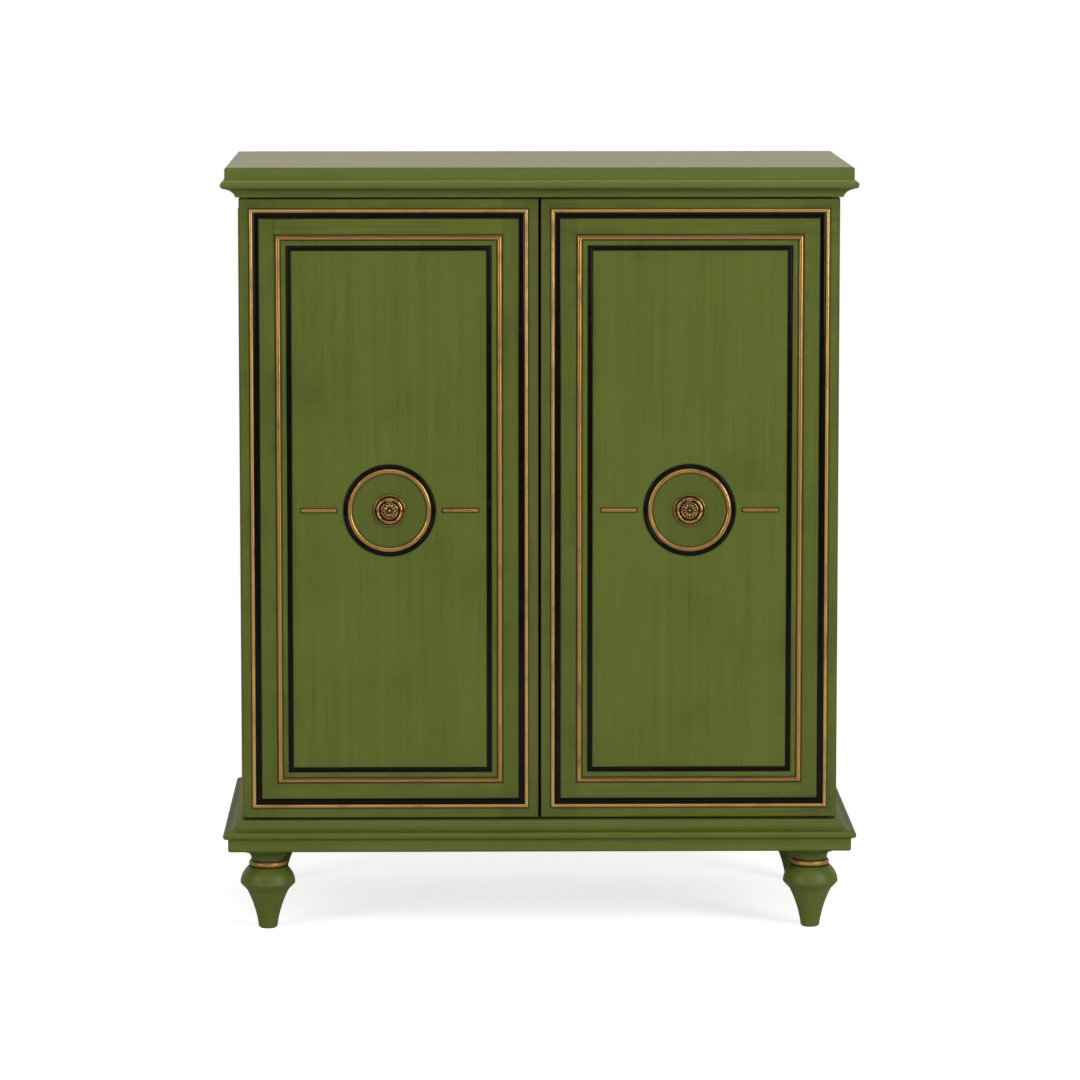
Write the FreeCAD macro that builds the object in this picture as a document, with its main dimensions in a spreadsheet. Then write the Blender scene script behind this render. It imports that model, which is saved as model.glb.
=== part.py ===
import FreeCAD, Part

# A two-door cabinet on four turned feet, with applied gold and black mouldings, in millimetres.
# +Z is up and the doors face -Y. The origin is on the floor, midway across the width and the depth.
# Every right-hand piece is the mirror image of its left-hand fellow.

import math
import os
from types import SimpleNamespace

import Sketcher

Vector = FreeCAD.Vector
Rotation = FreeCAD.Rotation

# Ratios and counts, which no change of size alters.
FULL_TURN = 360
DIAGONAL_SHARE = math.sqrt(0.5)
SHELF_COUNT = 2
SHELF_PIN_STEPS = (-1, 0, 1)
BACK_SCREW_COUNT = 5
CASE_SCREW_SHARES = (0.0, 0.5, 1.0)

# How far apart two computed lengths may be and still count as one place.
SAME_PLACE = 1e-4

# The driving dimensions: the alias of each cell, its value, and what it measures.
SIZES = [
    # Case
    ("case_width", 716.0, "outside width of the case, and of the pair of doors"),
    ("overall_depth", 400.0, "from the nose of the plinth's bead to the back"),
    ("side_thick", 18.0, "thickness of a side panel"),
    ("bottom_thick", 20.0, "thickness of the bottom board"),
    ("back_thick", 6.0, "thickness of the back panel"),
    ("back_lap", 10.0, "how far the back panel laps onto each side"),
    ("back_recess", 3.0, "how far the back panel lies inside the back edges"),
    ("panel_play", 0.5, "room around the back panel"),
    ("hole_overrun", 0.5, "how much deeper a blind hole is than its pin or screw"),
    ("cut_overrun", 2.0, "how far a cut runs past what it cuts"),
    # Top
    ("top_thick", 15.5, "thickness of the top board"),
    ("top_overhang", 16.0, "overhang of the top board at the front and sides"),
    ("top_round", 2.8, "rounding of the top board's edges"),
    # Crown moulding under the top board
    ("crown_height", 20.5, "height of the crown moulding"),
    ("crown_foot", 3.4, "overhang of the crown's lower edge"),
    ("crown_cove_reach", 13.2, "overhang at the top of the crown's cove"),
    ("crown_cove_height", 9.6, "height of the crown's cove"),
    ("crown_cove_radius", 15.0, "radius of the crown's cove"),
    ("crown_soffit_rise", 1.2, "rise of the crown's underside to its bead"),
    ("crown_nose", 21.1, "overhang of the crown's bead"),
    ("crown_nose_radius", 4.4, "radius of the crown's bead"),
    # Plinth moulding under the case
    ("apron_height", 16.2, "height of the plinth's flat apron"),
    ("apron_overhang", 17.2, "overhang of the apron"),
    ("apron_round", 3.6, "rounding of the apron's lower edge"),
    ("plinth_bead_radius", 4.5, "radius of the plinth's bead"),
    ("plinth_nose", 23.0, "overhang of the plinth's bead"),
    ("plinth_cove_height", 7.6, "height of the plinth's cove"),
    ("plinth_cove_radius", 13.0, "radius of the plinth's cove"),
    ("plinth_cap", 6.7, "overhang of the plinth's upper edge"),
    ("plinth_cap_height", 4.7, "height of the plinth's upper edge"),
    ("plinth_cap_round", 4.2, "rounding of the plinth's upper edge"),
    ("back_rail_thick", 18.0, "thickness of the rail at the back of the plinth"),
    # Feet
    ("foot_height", 100.0, "from the floor to the underside of the plinth"),
    ("foot_inset", 46.0, "from the apron's face, or the back, to a foot's axis"),
    ("foot_toe_radius", 11.4, "radius of the foot's toe"),
    ("foot_toe_round", 1.8, "rounding of the toe's edge"),
    ("foot_taper_radius", 137.0, "radius of the long hollow of the foot's shank"),
    ("foot_crease_radius", 25.4, "radius where the shank meets the bulb"),
    ("foot_crease_drop", 52.5, "from the foot's top down to where the shank meets the bulb"),
    ("foot_lip_radius", 32.2, "radius at the top of the bulb's slanted underside"),
    ("foot_lip_drop", 45.4, "from the foot's top down to the top of that underside"),
    ("foot_lip_round", 3.0, "rounding of the bulb's widest edge"),
    ("foot_bulb_radius", 33.2, "widest radius of the bulb"),
    ("foot_bulb_drop", 43.0, "from the foot's top down to the widest place"),
    ("foot_bulb_round", 27.4, "radius of the bulb's upper curve"),
    ("foot_shoulder_radius", 23.4, "radius at the top of the bulb"),
    ("foot_shoulder_drop", 23.8, "from the foot's top down to the top of the bulb"),
    ("foot_ring_radius", 21.2, "radius of the turned ring's edges"),
    ("foot_ring_low_drop", 23.4, "from the foot's top down to the ring's lower edge"),
    ("foot_ring_high_drop", 16.6, "from the foot's top down to the ring's upper edge"),
    ("foot_ring_round", 4.4, "radius of the ring's half-round"),
    ("foot_neck_radius", 20.0, "radius of the neck above the ring"),
    ("foot_neck_drop", 14.6, "from the foot's top down to where the neck starts to flare"),
    ("foot_flare_round", 9.3, "radius of the flare's hollow"),
    ("foot_flare_radius", 28.3, "radius at the top of the flare"),
    ("foot_flare_drop", 5.4, "from the foot's top down to the top of the flare"),
    ("foot_collar_radius", 29.2, "radius of the foot's flat top"),
    ("foot_block_size", 60.0, "side of the square block above a foot"),
    ("foot_bolt_radius", 4.0, "radius of the bolt that holds a foot"),
    ("foot_bolt_grip", 34.0, "length of the bolt inside the foot"),
    ("foot_bolt_reach", 14.0, "length of the bolt inside the bottom board"),
    ("glide_thick", 1.0, "thickness of the glide under a foot"),
    ("glide_radius", 9.4, "radius of the glide"),
    ("glide_nail_radius", 1.2, "radius of the glide's nail"),
    ("glide_nail_length", 12.0, "length of the glide's nail"),
    # Shelves
    ("shelf_thick", 18.0, "thickness of a shelf"),
    ("shelf_play", 1.5, "room at a shelf's ends and back"),
    ("shelf_setback", 20.0, "from the front of the sides to the front of a shelf"),
    ("shelf_round", 1.5, "rounding of a shelf's front edges"),
    ("shelf_pin_inset", 50.0, "from the front or the back of a side to a row of pin holes"),
    ("shelf_pin_radius", 2.5, "radius of a shelf pin"),
    ("shelf_pin_depth", 10.0, "length of a shelf pin inside the side"),
    ("shelf_pin_length", 9.0, "length of a shelf pin outside the side"),
    ("shelf_pin_collar", 4.0, "radius of a shelf pin's collar"),
    ("shelf_pin_collar_thick", 1.2, "thickness of a shelf pin's collar"),
    ("shelf_pin_pitch", 32.0, "spacing of the pin holes"),
    # Doors
    ("door_height", 746.4, "height of a door"),
    ("door_thick", 20.0, "thickness of a door"),
    ("door_gap", 1.8, "gap above and below the doors"),
    ("meeting_gap", 3.0, "gap between the two doors"),
    ("door_back_gap", 2.0, "gap between a closed door and the sides"),
    ("door_round", 1.2, "rounding of a door's front edges"),
    # Applied mouldings
    ("outer_gold_inset", 12.0, "from a panel's edge to the outer gold moulding"),
    ("outer_gold_width", 4.6, "width of the outer gold moulding"),
    ("outer_gold_rise", 2.3, "height of the outer gold moulding"),
    ("outer_black_width", 7.2, "width of the black band beside it"),
    ("outer_black_rise", 1.0, "height of the black band"),
    ("inner_gold_inset", 43.0, "from a panel's edge to the inner gold moulding"),
    ("inner_gold_width", 6.2, "width of the inner gold moulding"),
    ("inner_gold_rise", 2.6, "height of the inner gold moulding"),
    ("inner_black_inset", 56.0, "from a panel's edge to the inner black moulding"),
    ("inner_black_width", 5.8, "width of the inner black moulding"),
    ("inner_black_rise", 2.2, "height of the inner black moulding"),
    ("gold_ring_radius", 44.4, "inner radius of the gold ring on a door"),
    ("gold_ring_width", 6.0, "width of the gold ring"),
    ("gold_ring_rise", 2.6, "height of the gold ring"),
    ("black_ring_width", 4.9, "width of the black ring around it"),
    ("black_ring_rise", 2.2, "height of the black ring"),
    ("bar_inner_gap", 8.0, "gap between the black ring and a gold bar"),
    ("bar_outer_gap", 10.1, "gap between a gold bar and the inner black moulding"),
    ("bar_width", 4.5, "width of a gold bar"),
    ("bar_rise", 2.4, "height of a gold bar"),
    ("bar_round", 2.0, "rounding of a gold bar"),
    # Pivot hinges
    ("pivot_inset", 6.0, "from a door's outer edge to its pivot"),
    ("pivot_depth", 12.0, "from a door's back to its pivot"),
    ("pivot_radius", 2.5, "radius of the hinge pin"),
    ("pivot_play", 0.05, "room around the hinge pin"),
    ("leaf_half_width", 5.5, "half the width of a hinge leaf"),
    ("leaf_length", 40.0, "from the pivot to the end of a hinge leaf"),
    ("leaf_thick", 2.5, "thickness of a hinge leaf"),
    ("washer_radius", 5.0, "radius of the washer between the leaves"),
    ("washer_play", 0.1, "room above the washer"),
    ("leaf_screw_first", 14.0, "from the pivot to the first screw of a leaf"),
    ("leaf_screw_pitch", 18.0, "spacing of the screws of a leaf"),
    # Catch
    ("catch_width", 46.0, "width of the magnetic catch"),
    ("catch_depth", 16.0, "depth of the catch"),
    ("catch_height", 18.0, "height of the catch"),
    ("catch_round", 1.5, "rounding of the catch's corners"),
    ("magnet_offset", 11.5, "from the middle to the centre of a magnet"),
    ("magnet_width", 12.0, "width of a magnet"),
    ("magnet_height", 8.0, "height of a magnet"),
    ("magnet_depth", 8.0, "depth of a magnet inside the catch"),
    ("magnet_proud", 0.5, "how far a magnet stands out of the catch"),
    ("strike_width", 16.0, "width of a strike plate"),
    ("strike_height", 12.0, "height of a strike plate"),
    ("strike_thick", 1.2, "thickness of a strike plate"),
    # Pulls
    ("pull_radius", 19.4, "radius of a pull's back plate"),
    ("pull_edge", 1.0, "height of the plate's outer edge"),
    ("pull_floor", 1.4, "height of the hollow that the ring lies in"),
    ("pull_rim_inner", 17.0, "inner radius of the plate's rim"),
    ("pull_rim_height", 2.6, "height of the plate's rim"),
    ("pull_boss_radius", 10.3, "radius of the raised middle"),
    ("pull_boss_height", 3.4, "height of the raised middle's edge"),
    ("pull_bead_inner", 8.8, "inner radius of the bead around the middle"),
    ("pull_bead_height", 4.4, "height of that bead"),
    ("pull_face_height", 3.4, "height of the middle's face"),
    ("pull_button_radius", 2.0, "radius of the button in the middle"),
    ("pull_button_height", 4.9, "height of the button"),
    ("ring_radius", 14.2, "radius of the pull ring, at the middle of its wire"),
    ("ring_wire", 1.8, "radius of the ring's wire"),
    ("ring_clearance", 0.4, "gap between the ring and the plate"),
    ("ring_end_gap", 1.1, "gap between the knuckle and each end of the ring"),
    ("knuckle_width", 7.2, "width of the knuckle that the ring hangs in"),
    ("knuckle_radius", 2.7, "radius of the knuckle"),
    ("ring_axle_radius", 1.2, "radius of the ring's axle"),
    ("ring_axle_play", 0.05, "room around the ring's axle"),
    # Screws
    ("screw_play", 0.05, "room around a screw's shank"),
    ("head_play", 0.1, "room around a screw's sunk head"),
    ("case_screw_radius", 3.0, "shank radius of a case screw"),
    ("case_screw_head", 5.0, "head radius of a case screw"),
    ("case_screw_head_thick", 3.5, "head height of a case screw"),
    ("case_screw_length", 50.0, "shank length of a case screw"),
    ("case_screw_front", 60.0, "from the front of the sides to the first case screw"),
    ("case_screw_back", 100.0, "from the back to the last case screw"),
    ("top_screw_radius", 2.2, "shank radius of a top board screw"),
    ("top_screw_head", 4.2, "head radius of a top board screw"),
    ("top_screw_head_thick", 2.5, "head height of a top board screw"),
    ("top_screw_length", 26.0, "shank length of a top board screw"),
    ("top_screw_side", 118.0, "from the side of the case to a top board screw"),
    ("top_screw_inset", 70.0, "from the front or the back to a top board screw"),
    ("back_screw_radius", 1.6, "shank radius of a back panel screw"),
    ("back_screw_head", 3.2, "head radius of a back panel screw"),
    ("back_screw_head_thick", 1.8, "head height of a back panel screw"),
    ("back_screw_length", 16.0, "shank length of a back panel screw"),
    ("back_screw_inset", 40.0, "from the ends of the back panel to its first screw"),
    ("small_screw_radius", 1.5, "shank radius of a hinge, catch or strike screw"),
    ("small_screw_head", 2.7, "head radius of such a screw"),
    ("small_screw_head_thick", 0.8, "head height of such a screw"),
    ("small_screw_length", 14.0, "shank length of such a screw"),
    ("pull_screw_radius", 2.0, "shank radius of the screw that holds a pull"),
    ("pull_screw_head", 4.0, "head radius of that screw"),
    ("pull_screw_head_thick", 2.4, "head height of that screw"),
    ("pull_screw_grip", 2.4, "length of that screw inside the pull"),
    ("pull_screw_hole_play", 0.2, "room around that screw in the door"),
]

doc = FreeCAD.newDocument("cabinet")
sheet = doc.addObject("Spreadsheet::Sheet", "Sizes")
for row, (alias, value, note) in enumerate(SIZES, 1):
    sheet.set(f"A{row}", alias)
    sheet.set(f"B{row}", str(value))
    sheet.setAlias(f"B{row}", alias)
    sheet.set(f"C{row}", note)
doc.recompute()


class Size:
    """A cell of the sheet, or a sum of cells: its value now and the expression that keeps it live."""

    def __init__(self, value, text):
        self.value = float(value)
        self.text = text

    def __add__(self, other):
        other = as_size(other)
        return Size(self.value + other.value, f"({self.text} + {other.text})")

    def __sub__(self, other):
        other = as_size(other)
        return Size(self.value - other.value, f"({self.text} - {other.text})")

    def __mul__(self, other):
        other = as_size(other)
        return Size(self.value * other.value, f"({self.text} * {other.text})")

    def __truediv__(self, other):
        other = as_size(other)
        return Size(self.value / other.value, f"({self.text} / {other.text})")

    def __neg__(self):
        return Size(-self.value, f"(0 - {self.text})")


def as_size(number):
    """Give a plain number the same form as a cell."""
    if isinstance(number, Size):
        return number
    return Size(number, repr(number))


def root(size):
    """The square root of a size."""
    return Size(math.sqrt(size.value), f"sqrt({size.text})")


def arc_sine(ratio):
    """The angle in degrees whose sine is a ratio of two sizes."""
    return Size(math.degrees(math.asin(ratio.value)), f"(asin({ratio.text}) / 1 deg)")


def near(one, other):
    """Whether two lengths are the same place."""
    return abs(one - as_size(other).value) < SAME_PLACE


s = SimpleNamespace(**{row[0]: Size(getattr(sheet, row[0]), f"Sizes.{row[0]}") for row in SIZES})

# Places that follow from the driving dimensions.
half_width = s.case_width / 2
inner_half = half_width - s.side_thick
back_y = s.overall_depth / 2
face_y = s.plinth_nose - back_y
door_back_y = face_y + s.door_thick
case_front_y = door_back_y + s.door_back_gap
back_outer_y = back_y - s.back_recess
back_inner_y = back_outer_y - s.back_thick
plinth_height = s.apron_height + s.plinth_bead_radius * 2 + s.plinth_cove_height + s.plinth_cap_height
plinth_top = s.foot_height + plinth_height
block_top = plinth_top - s.bottom_thick
door_bottom = plinth_top + s.door_gap
door_top = door_bottom + s.door_height
door_middle = door_bottom + s.door_height / 2
crown_bottom = door_top + s.door_gap
crown_top = crown_bottom + s.crown_height
door_half_width = (half_width - s.meeting_gap / 2) / 2
door_centre_x = -(s.meeting_gap / 2 + door_half_width)
pivot_x = s.pivot_inset - half_width
pivot_y = door_back_y - s.pivot_depth
foot_x = half_width + s.apron_overhang - s.foot_inset
foot_front_y = face_y - s.apron_overhang + s.foot_inset
foot_back_y = back_y - s.foot_inset
shelf_gap = (crown_bottom - plinth_top - s.shelf_thick * SHELF_COUNT) / (SHELF_COUNT + 1)
ring_height = s.pull_floor + s.ring_clearance + s.ring_wire
ring_gap_sine = (s.knuckle_width / 2 + s.ring_end_gap) / (s.ring_radius - s.ring_wire)
ring_axle_rise = s.ring_radius * root(as_size(1) - ring_gap_sine * ring_gap_sine)
magnet_z = crown_bottom - s.catch_height / 2

# The ways that a piece can be turned: its Z axis points there, or its front faces the left.
TURNS = {
    "up": Rotation(),
    "left_face": Rotation(Vector(0, 0, 1), -90),
    "down": Rotation(Vector(1, 0, 0), 180),
    "front": Rotation(Vector(1, 0, 0), 90),
    "back": Rotation(Vector(1, 0, 0), -90),
    "right": Rotation(Vector(0, 1, 0), 90),
}

nodes = []


def keep(piece, name):
    """Name a sub-part, and list it to be written."""
    piece.Label = name
    nodes.append(piece)
    return piece


def bind(thing, path, size):
    """Tie one property of a document object to the sheet."""
    thing.setExpression(path, as_size(size).text)


def place(piece, spot, turn="up"):
    """Put a piece's own origin at a spot, turned one of the named ways."""
    piece.Placement = FreeCAD.Placement(Vector(*(as_size(part).value for part in spot)), TURNS[turn])
    for axis, part in zip("xyz", spot):
        bind(piece, f"Placement.Base.{axis}", part)
    return piece


def arc_between(start, end, radius):
    """The arc from start to end, anticlockwise for a radius above zero."""
    chord = end - start
    left = Vector(-chord.y, chord.x, 0).normalize()
    reach = math.sqrt(max(radius ** 2 - (chord.Length / 2) ** 2, 0))
    centre = start + chord * 0.5 + left * math.copysign(reach, radius)
    circle = Part.Circle(centre, Vector(0, 0, 1), abs(radius))
    first, last = (start, end) if radius > 0 else (end, start)
    return Part.ArcOfCircle(circle, circle.parameter(first), circle.parameter(last))


def fix(sketch, kind, edge, vertex, size):
    """Hold one vertex of an edge at a distance from the sketch's origin, along its X or Y."""
    size = as_size(size)
    number = sketch.addConstraint(Sketcher.Constraint(kind, -1, 1, edge, vertex, size.value))
    if size.text != "0":
        bind(sketch, f"Constraints[{number}]", size)


def fix_radius(sketch, edge, size):
    """Hold the radius of an arc or a circle."""
    number = sketch.addConstraint(Sketcher.Constraint("Radius", edge, abs(size.value)))
    bind(sketch, f"Constraints[{number}]", size if size.value > 0 else -size)


def draw_loop(sketch, corners):
    """Draw a closed outline.

    A corner is (u, v), or (u, v, radius) where an arc leads to it. The arc runs anticlockwise for a
    radius above zero and clockwise for one below.
    """
    first = sketch.GeometryCount
    ends = []
    for here, there in zip(corners, corners[1:] + corners[:1]):
        start = Vector(as_size(here[0]).value, as_size(here[1]).value, 0)
        end = Vector(as_size(there[0]).value, as_size(there[1]).value, 0)
        if len(there) == 2:
            sketch.addGeometry(Part.LineSegment(start, end), False)
            ends.append((1, 2))
        else:
            sketch.addGeometry(arc_between(start, end, there[2].value), False)
            ends.append((1, 2) if there[2].value > 0 else (2, 1))
    count = len(corners)
    for step, corner in enumerate(corners):
        following = (step + 1) % count
        tail = (first + step, ends[step][1])
        head = (first + following, ends[following][0])
        sketch.addConstraint(Sketcher.Constraint("Coincident", *tail, *head))
        fix(sketch, "DistanceX", first + step, ends[step][0], corner[0])
        fix(sketch, "DistanceY", first + step, ends[step][0], corner[1])
        if len(corners[following]) == 3:
            fix_radius(sketch, first + step, corners[following][2])


def draw_circle(sketch, across, along, radius):
    """Draw a circle."""
    centre = Vector(as_size(across).value, as_size(along).value, 0)
    edge = sketch.addGeometry(Part.Circle(centre, Vector(0, 0, 1), radius.value), False)
    fix(sketch, "DistanceX", edge, 3, across)
    fix(sketch, "DistanceY", edge, 3, along)
    fix_radius(sketch, edge, radius)


def draw(body, name, plane, loops, circles=(), offset=0):
    """Add a sketch of loops and circles to a body, on one of its planes or offset along the normal."""
    sketch = body.newObject("Sketcher::SketchObject", name)
    support = next(item for item in body.Origin.OriginFeatures if item.Role == plane)
    sketch.AttachmentSupport = [(support, "")]
    sketch.MapMode = "FlatFace"
    bind(sketch, "AttachmentOffset.Base.z", offset)
    for loop in loops:
        draw_loop(sketch, loop)
    for across, along, radius in circles:
        draw_circle(sketch, across, along, radius)
    return sketch


def pad(body, sketch, length, symmetric=False):
    """Raise a sketch along its normal, or to both sides of its plane."""
    feature = body.newObject("PartDesign::Pad", "pad")
    feature.Profile = sketch
    feature.SideType = "Symmetric" if symmetric else "One side"
    bind(feature, "Length", length)
    doc.recompute()


def cut(body, sketch, depth, symmetric=False, reverse=False):
    """Sink a sketch against its normal, or along it, and see that it cuts."""
    before = body.Shape.Volume
    feature = body.newObject("PartDesign::Pocket", "cut")
    feature.Profile = sketch
    feature.SideType = "Symmetric" if symmetric else "One side"
    feature.Reversed = reverse
    bind(feature, "Length", depth)
    doc.recompute()
    if not body.Shape.Volume < before:
        raise RuntimeError(f"a cut in {body.Label} removes nothing")


def bore(body, plane, offset, spots, radius, depth, reverse=False):
    """Drill round holes of one size from a plane into a body."""
    circles = [(across, along, radius) for across, along in spots]
    cut(body, draw(body, "holes", plane, [], circles, offset), depth, reverse=reverse)


def round_edges(body, radius, wanted):
    """Round the edges whose boxes are wanted."""
    base = body.Tip
    names = [f"Edge{number}" for number, edge in enumerate(base.Shape.Edges, 1) if wanted(edge.BoundBox)]
    feature = body.newObject("PartDesign::Fillet", "rounding")
    feature.Base = (base, names)
    bind(feature, "Radius", radius)
    doc.recompute()


def new_body(name):
    """An empty body."""
    return doc.addObject("PartDesign::Body", name)


def board(name, low, high):
    """A board with its edges along the axes, from its low corner to its high corner."""
    body = new_body(name)
    outline = [(low[0], low[1]), (high[0], low[1]), (high[0], high[1]), (low[0], high[1])]
    pad(body, draw(body, "outline", "XY_Plane", [outline], offset=low[2]), high[2] - low[2])
    return body


def turned(name, outline):
    """A piece turned about its own Z axis, from an outline of radii and heights."""
    body = new_body(name)
    sketch = draw(body, "profile", "XZ_Plane", [outline])
    feature = body.newObject("PartDesign::Revolution", "turning")
    feature.Profile = sketch
    feature.ReferenceAxis = (sketch, ["V_Axis"])
    feature.Angle = FULL_TURN
    doc.recompute()
    return body


def mirror(source, normal, through=(0, 0, 0)):
    """The mirror image of a piece in the plane through a point."""
    image = doc.addObject("Part::Mirroring", f"{source.Name}_image")
    image.Source = source
    image.Normal = normal
    for axis, part in zip("xyz", through):
        bind(image, f"Base.{axis}", part)
    return image


def group(name, pieces):
    """Like pieces that share a node."""
    bundle = doc.addObject("Part::Compound", name)
    bundle.Links = pieces
    return bundle


def pair(source, name):
    """Keep a left-hand piece and its right-hand mirror image."""
    keep(source, f"left_{name}")
    keep(mirror(source, Vector(1, 0, 0)), f"right_{name}")


def screw(spot, head_faces, head, head_thick, shank, length):
    """A round-headed screw whose head's top is at a spot."""
    shoulder = -head_thick
    tip = shoulder - length
    outline = [
        (0, tip), (shank, tip + shank), (shank, shoulder), (head, shoulder), (head, 0), (0, 0),
    ]
    return place(turned("screw", outline), spot, head_faces)


def small_screw(spot, head_faces):
    """A hinge, catch or strike screw."""
    return screw(spot, head_faces, s.small_screw_head, s.small_screw_head_thick, s.small_screw_radius,
                 s.small_screw_length)


def segment_radius(width, rise):
    """The radius of a low half-round, from its width and its height."""
    return (width * width / 4 + rise * rise) / (rise * 2)


def plinth_profile():
    """The plinth's section: overhangs and heights of the apron, the bead, the cove and the cap."""
    apron_top = s.foot_height + s.apron_height
    bead_centre = s.plinth_nose - s.plinth_bead_radius
    cove_foot = apron_top + s.plinth_bead_radius * 2
    cove_top = cove_foot + s.plinth_cove_height
    return [
        (0, s.foot_height),
        (s.apron_overhang - s.apron_round, s.foot_height),
        (s.apron_overhang, s.foot_height + s.apron_round, -s.apron_round),
        (s.apron_overhang, apron_top),
        (bead_centre, apron_top),
        (s.plinth_nose, apron_top + s.plinth_bead_radius, -s.plinth_bead_radius),
        (bead_centre, cove_foot, -s.plinth_bead_radius),
        (s.plinth_cap, cove_top, s.plinth_cove_radius),
        (s.plinth_cap, plinth_top - s.plinth_cap_round),
        (s.plinth_cap - s.plinth_cap_round, plinth_top, -s.plinth_cap_round),
        (0, plinth_top),
    ]


def crown_profile():
    """The crown's section: overhangs and heights of the cove, the bead and the slope above it."""
    soffit = crown_bottom + s.crown_cove_height + s.crown_soffit_rise
    nose_centre = s.crown_nose - s.crown_nose_radius
    nose_share = s.crown_nose_radius * DIAGONAL_SHARE
    return [
        (0, crown_bottom),
        (s.crown_foot, crown_bottom),
        (s.crown_cove_reach, crown_bottom + s.crown_cove_height, s.crown_cove_radius),
        (nose_centre, soffit),
        (s.crown_nose, soffit + s.crown_nose_radius, -s.crown_nose_radius),
        (nose_centre + nose_share, soffit + s.crown_nose_radius + nose_share, -s.crown_nose_radius),
        (s.top_overhang, crown_top),
        (0, crown_top),
    ]


def mitred_mouldings(name, profile, nose, high):
    """A moulding around the front and the sides, in three lengths mitred at the front corners."""
    over = s.cut_overrun
    tall = (high + over) * 2
    outer_x = half_width + nose
    outer_y = face_y - nose
    inner = (over - half_width, face_y + over)
    outer = (-outer_x - over, outer_y - over)

    front = new_body(f"{name}_front")
    section = [(face_y - corner[0],) + corner[1:] for corner in profile]
    pad(front, draw(front, "section", "YZ_Plane", [section]), outer_x * 2, symmetric=True)
    waste = [inner, (outer[0], inner[1]), outer]
    mirrored = [(-across, along) for across, along in reversed(waste)]
    cut(front, draw(front, "mitres", "XY_Plane", [waste, mirrored]), tall, symmetric=True)
    keep(front, f"{name}_front")

    left = new_body(f"{name}_left")
    section = [(-half_width - corner[0],) + corner[1:] for corner in profile]
    pad(left, draw(left, "section", "XZ_Plane", [section], offset=-back_y), back_y - outer_y)
    waste = [inner, outer, (inner[0], outer[1])]
    cut(left, draw(left, "mitre", "XY_Plane", [waste]), tall, symmetric=True)
    keep(left, f"{name}_left")
    keep(mirror(left, Vector(1, 0, 0)), f"{name}_right")


def make_base():
    """The plinth, its back rail, the corner blocks and the feet with their bolts and glides."""
    mitred_mouldings("plinth", plinth_profile(), s.plinth_nose, plinth_top)
    rail_front = back_y - s.back_rail_thick
    rail = board("rail", (-half_width, rail_front, s.foot_height), (half_width, back_y, block_top))
    keep(rail, "plinth_back_rail")

    blocks = []
    bolts = []
    glides = []
    front = (face_y, foot_front_y, "front")
    back = (rail_front - s.foot_block_size, foot_back_y, "back")
    bolt_hole = s.foot_bolt_radius + s.screw_play
    for side, side_name in ((-1, "left"), (1, "right")):
        for block_y, foot_y, row_name in (front, back):
            low_x = (half_width - s.foot_block_size) if side > 0 else -half_width
            axis_x = foot_x * side
            block = board(
                "block",
                (low_x, block_y, s.foot_height),
                (low_x + s.foot_block_size, block_y + s.foot_block_size, block_top),
            )
            bore(block, "XY_Plane", block_top, [(axis_x, foot_y)], bolt_hole, block_top)
            blocks.append(block)
            bolts.append(place(turned("bolt", bolt_outline()), (axis_x, foot_y, s.foot_height)))
            glides.append(place(turned("glide", glide_outline()), (axis_x, foot_y, 0)))
            foot = place(turned("foot", foot_outline()), (axis_x, foot_y, 0))
            keep(foot, f"foot_{row_name}_{side_name}")
    keep(group("blocks", blocks), "foot_blocks")
    keep(group("bolts", bolts), "foot_bolts")
    keep(group("glides", glides), "foot_glides")


def foot_outline():
    """Half the section of a foot, from the nail hole round the outside to the bolt hole."""
    nail = s.glide_nail_radius + s.screw_play
    nail_top = s.glide_thick + s.glide_nail_length + s.screw_play
    bolt = s.foot_bolt_radius + s.screw_play
    bolt_low = s.foot_height - s.foot_bolt_grip - s.screw_play
    ring_low = s.foot_height - s.foot_ring_low_drop
    ring_high = s.foot_height - s.foot_ring_high_drop
    ring_half = (ring_high - ring_low) / 2
    flare_top = s.foot_height - s.foot_flare_drop
    ring_flat = root(s.foot_ring_round * s.foot_ring_round - ring_half * ring_half)
    ring_outer = s.foot_ring_radius + s.foot_ring_round - ring_flat
    return [
        (0, nail_top),
        (nail, nail_top),
        (nail, s.glide_thick),
        (s.foot_toe_radius - s.foot_toe_round, s.glide_thick),
        (s.foot_toe_radius, s.glide_thick + s.foot_toe_round, s.foot_toe_round),
        (s.foot_crease_radius, s.foot_height - s.foot_crease_drop, -s.foot_taper_radius),
        (s.foot_lip_radius, s.foot_height - s.foot_lip_drop),
        (s.foot_bulb_radius, s.foot_height - s.foot_bulb_drop, s.foot_lip_round),
        (s.foot_shoulder_radius, s.foot_height - s.foot_shoulder_drop, s.foot_bulb_round),
        (s.foot_ring_radius, ring_low),
        (ring_outer, ring_low + ring_half, s.foot_ring_round),
        (s.foot_ring_radius, ring_high, s.foot_ring_round),
        (s.foot_neck_radius, ring_high),
        (s.foot_neck_radius, s.foot_height - s.foot_neck_drop),
        (s.foot_flare_radius, flare_top, -s.foot_flare_round),
        (s.foot_collar_radius, flare_top),
        (s.foot_collar_radius, s.foot_height),
        (bolt, s.foot_height),
        (bolt, bolt_low),
        (0, bolt_low),
    ]


def bolt_outline():
    """Half the section of a foot bolt, from its lower end, with the plinth's underside at zero."""
    low = -s.foot_bolt_grip
    top = block_top - s.foot_height + s.foot_bolt_reach
    return [(0, low), (s.foot_bolt_radius, low), (s.foot_bolt_radius, top), (0, top)]


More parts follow.
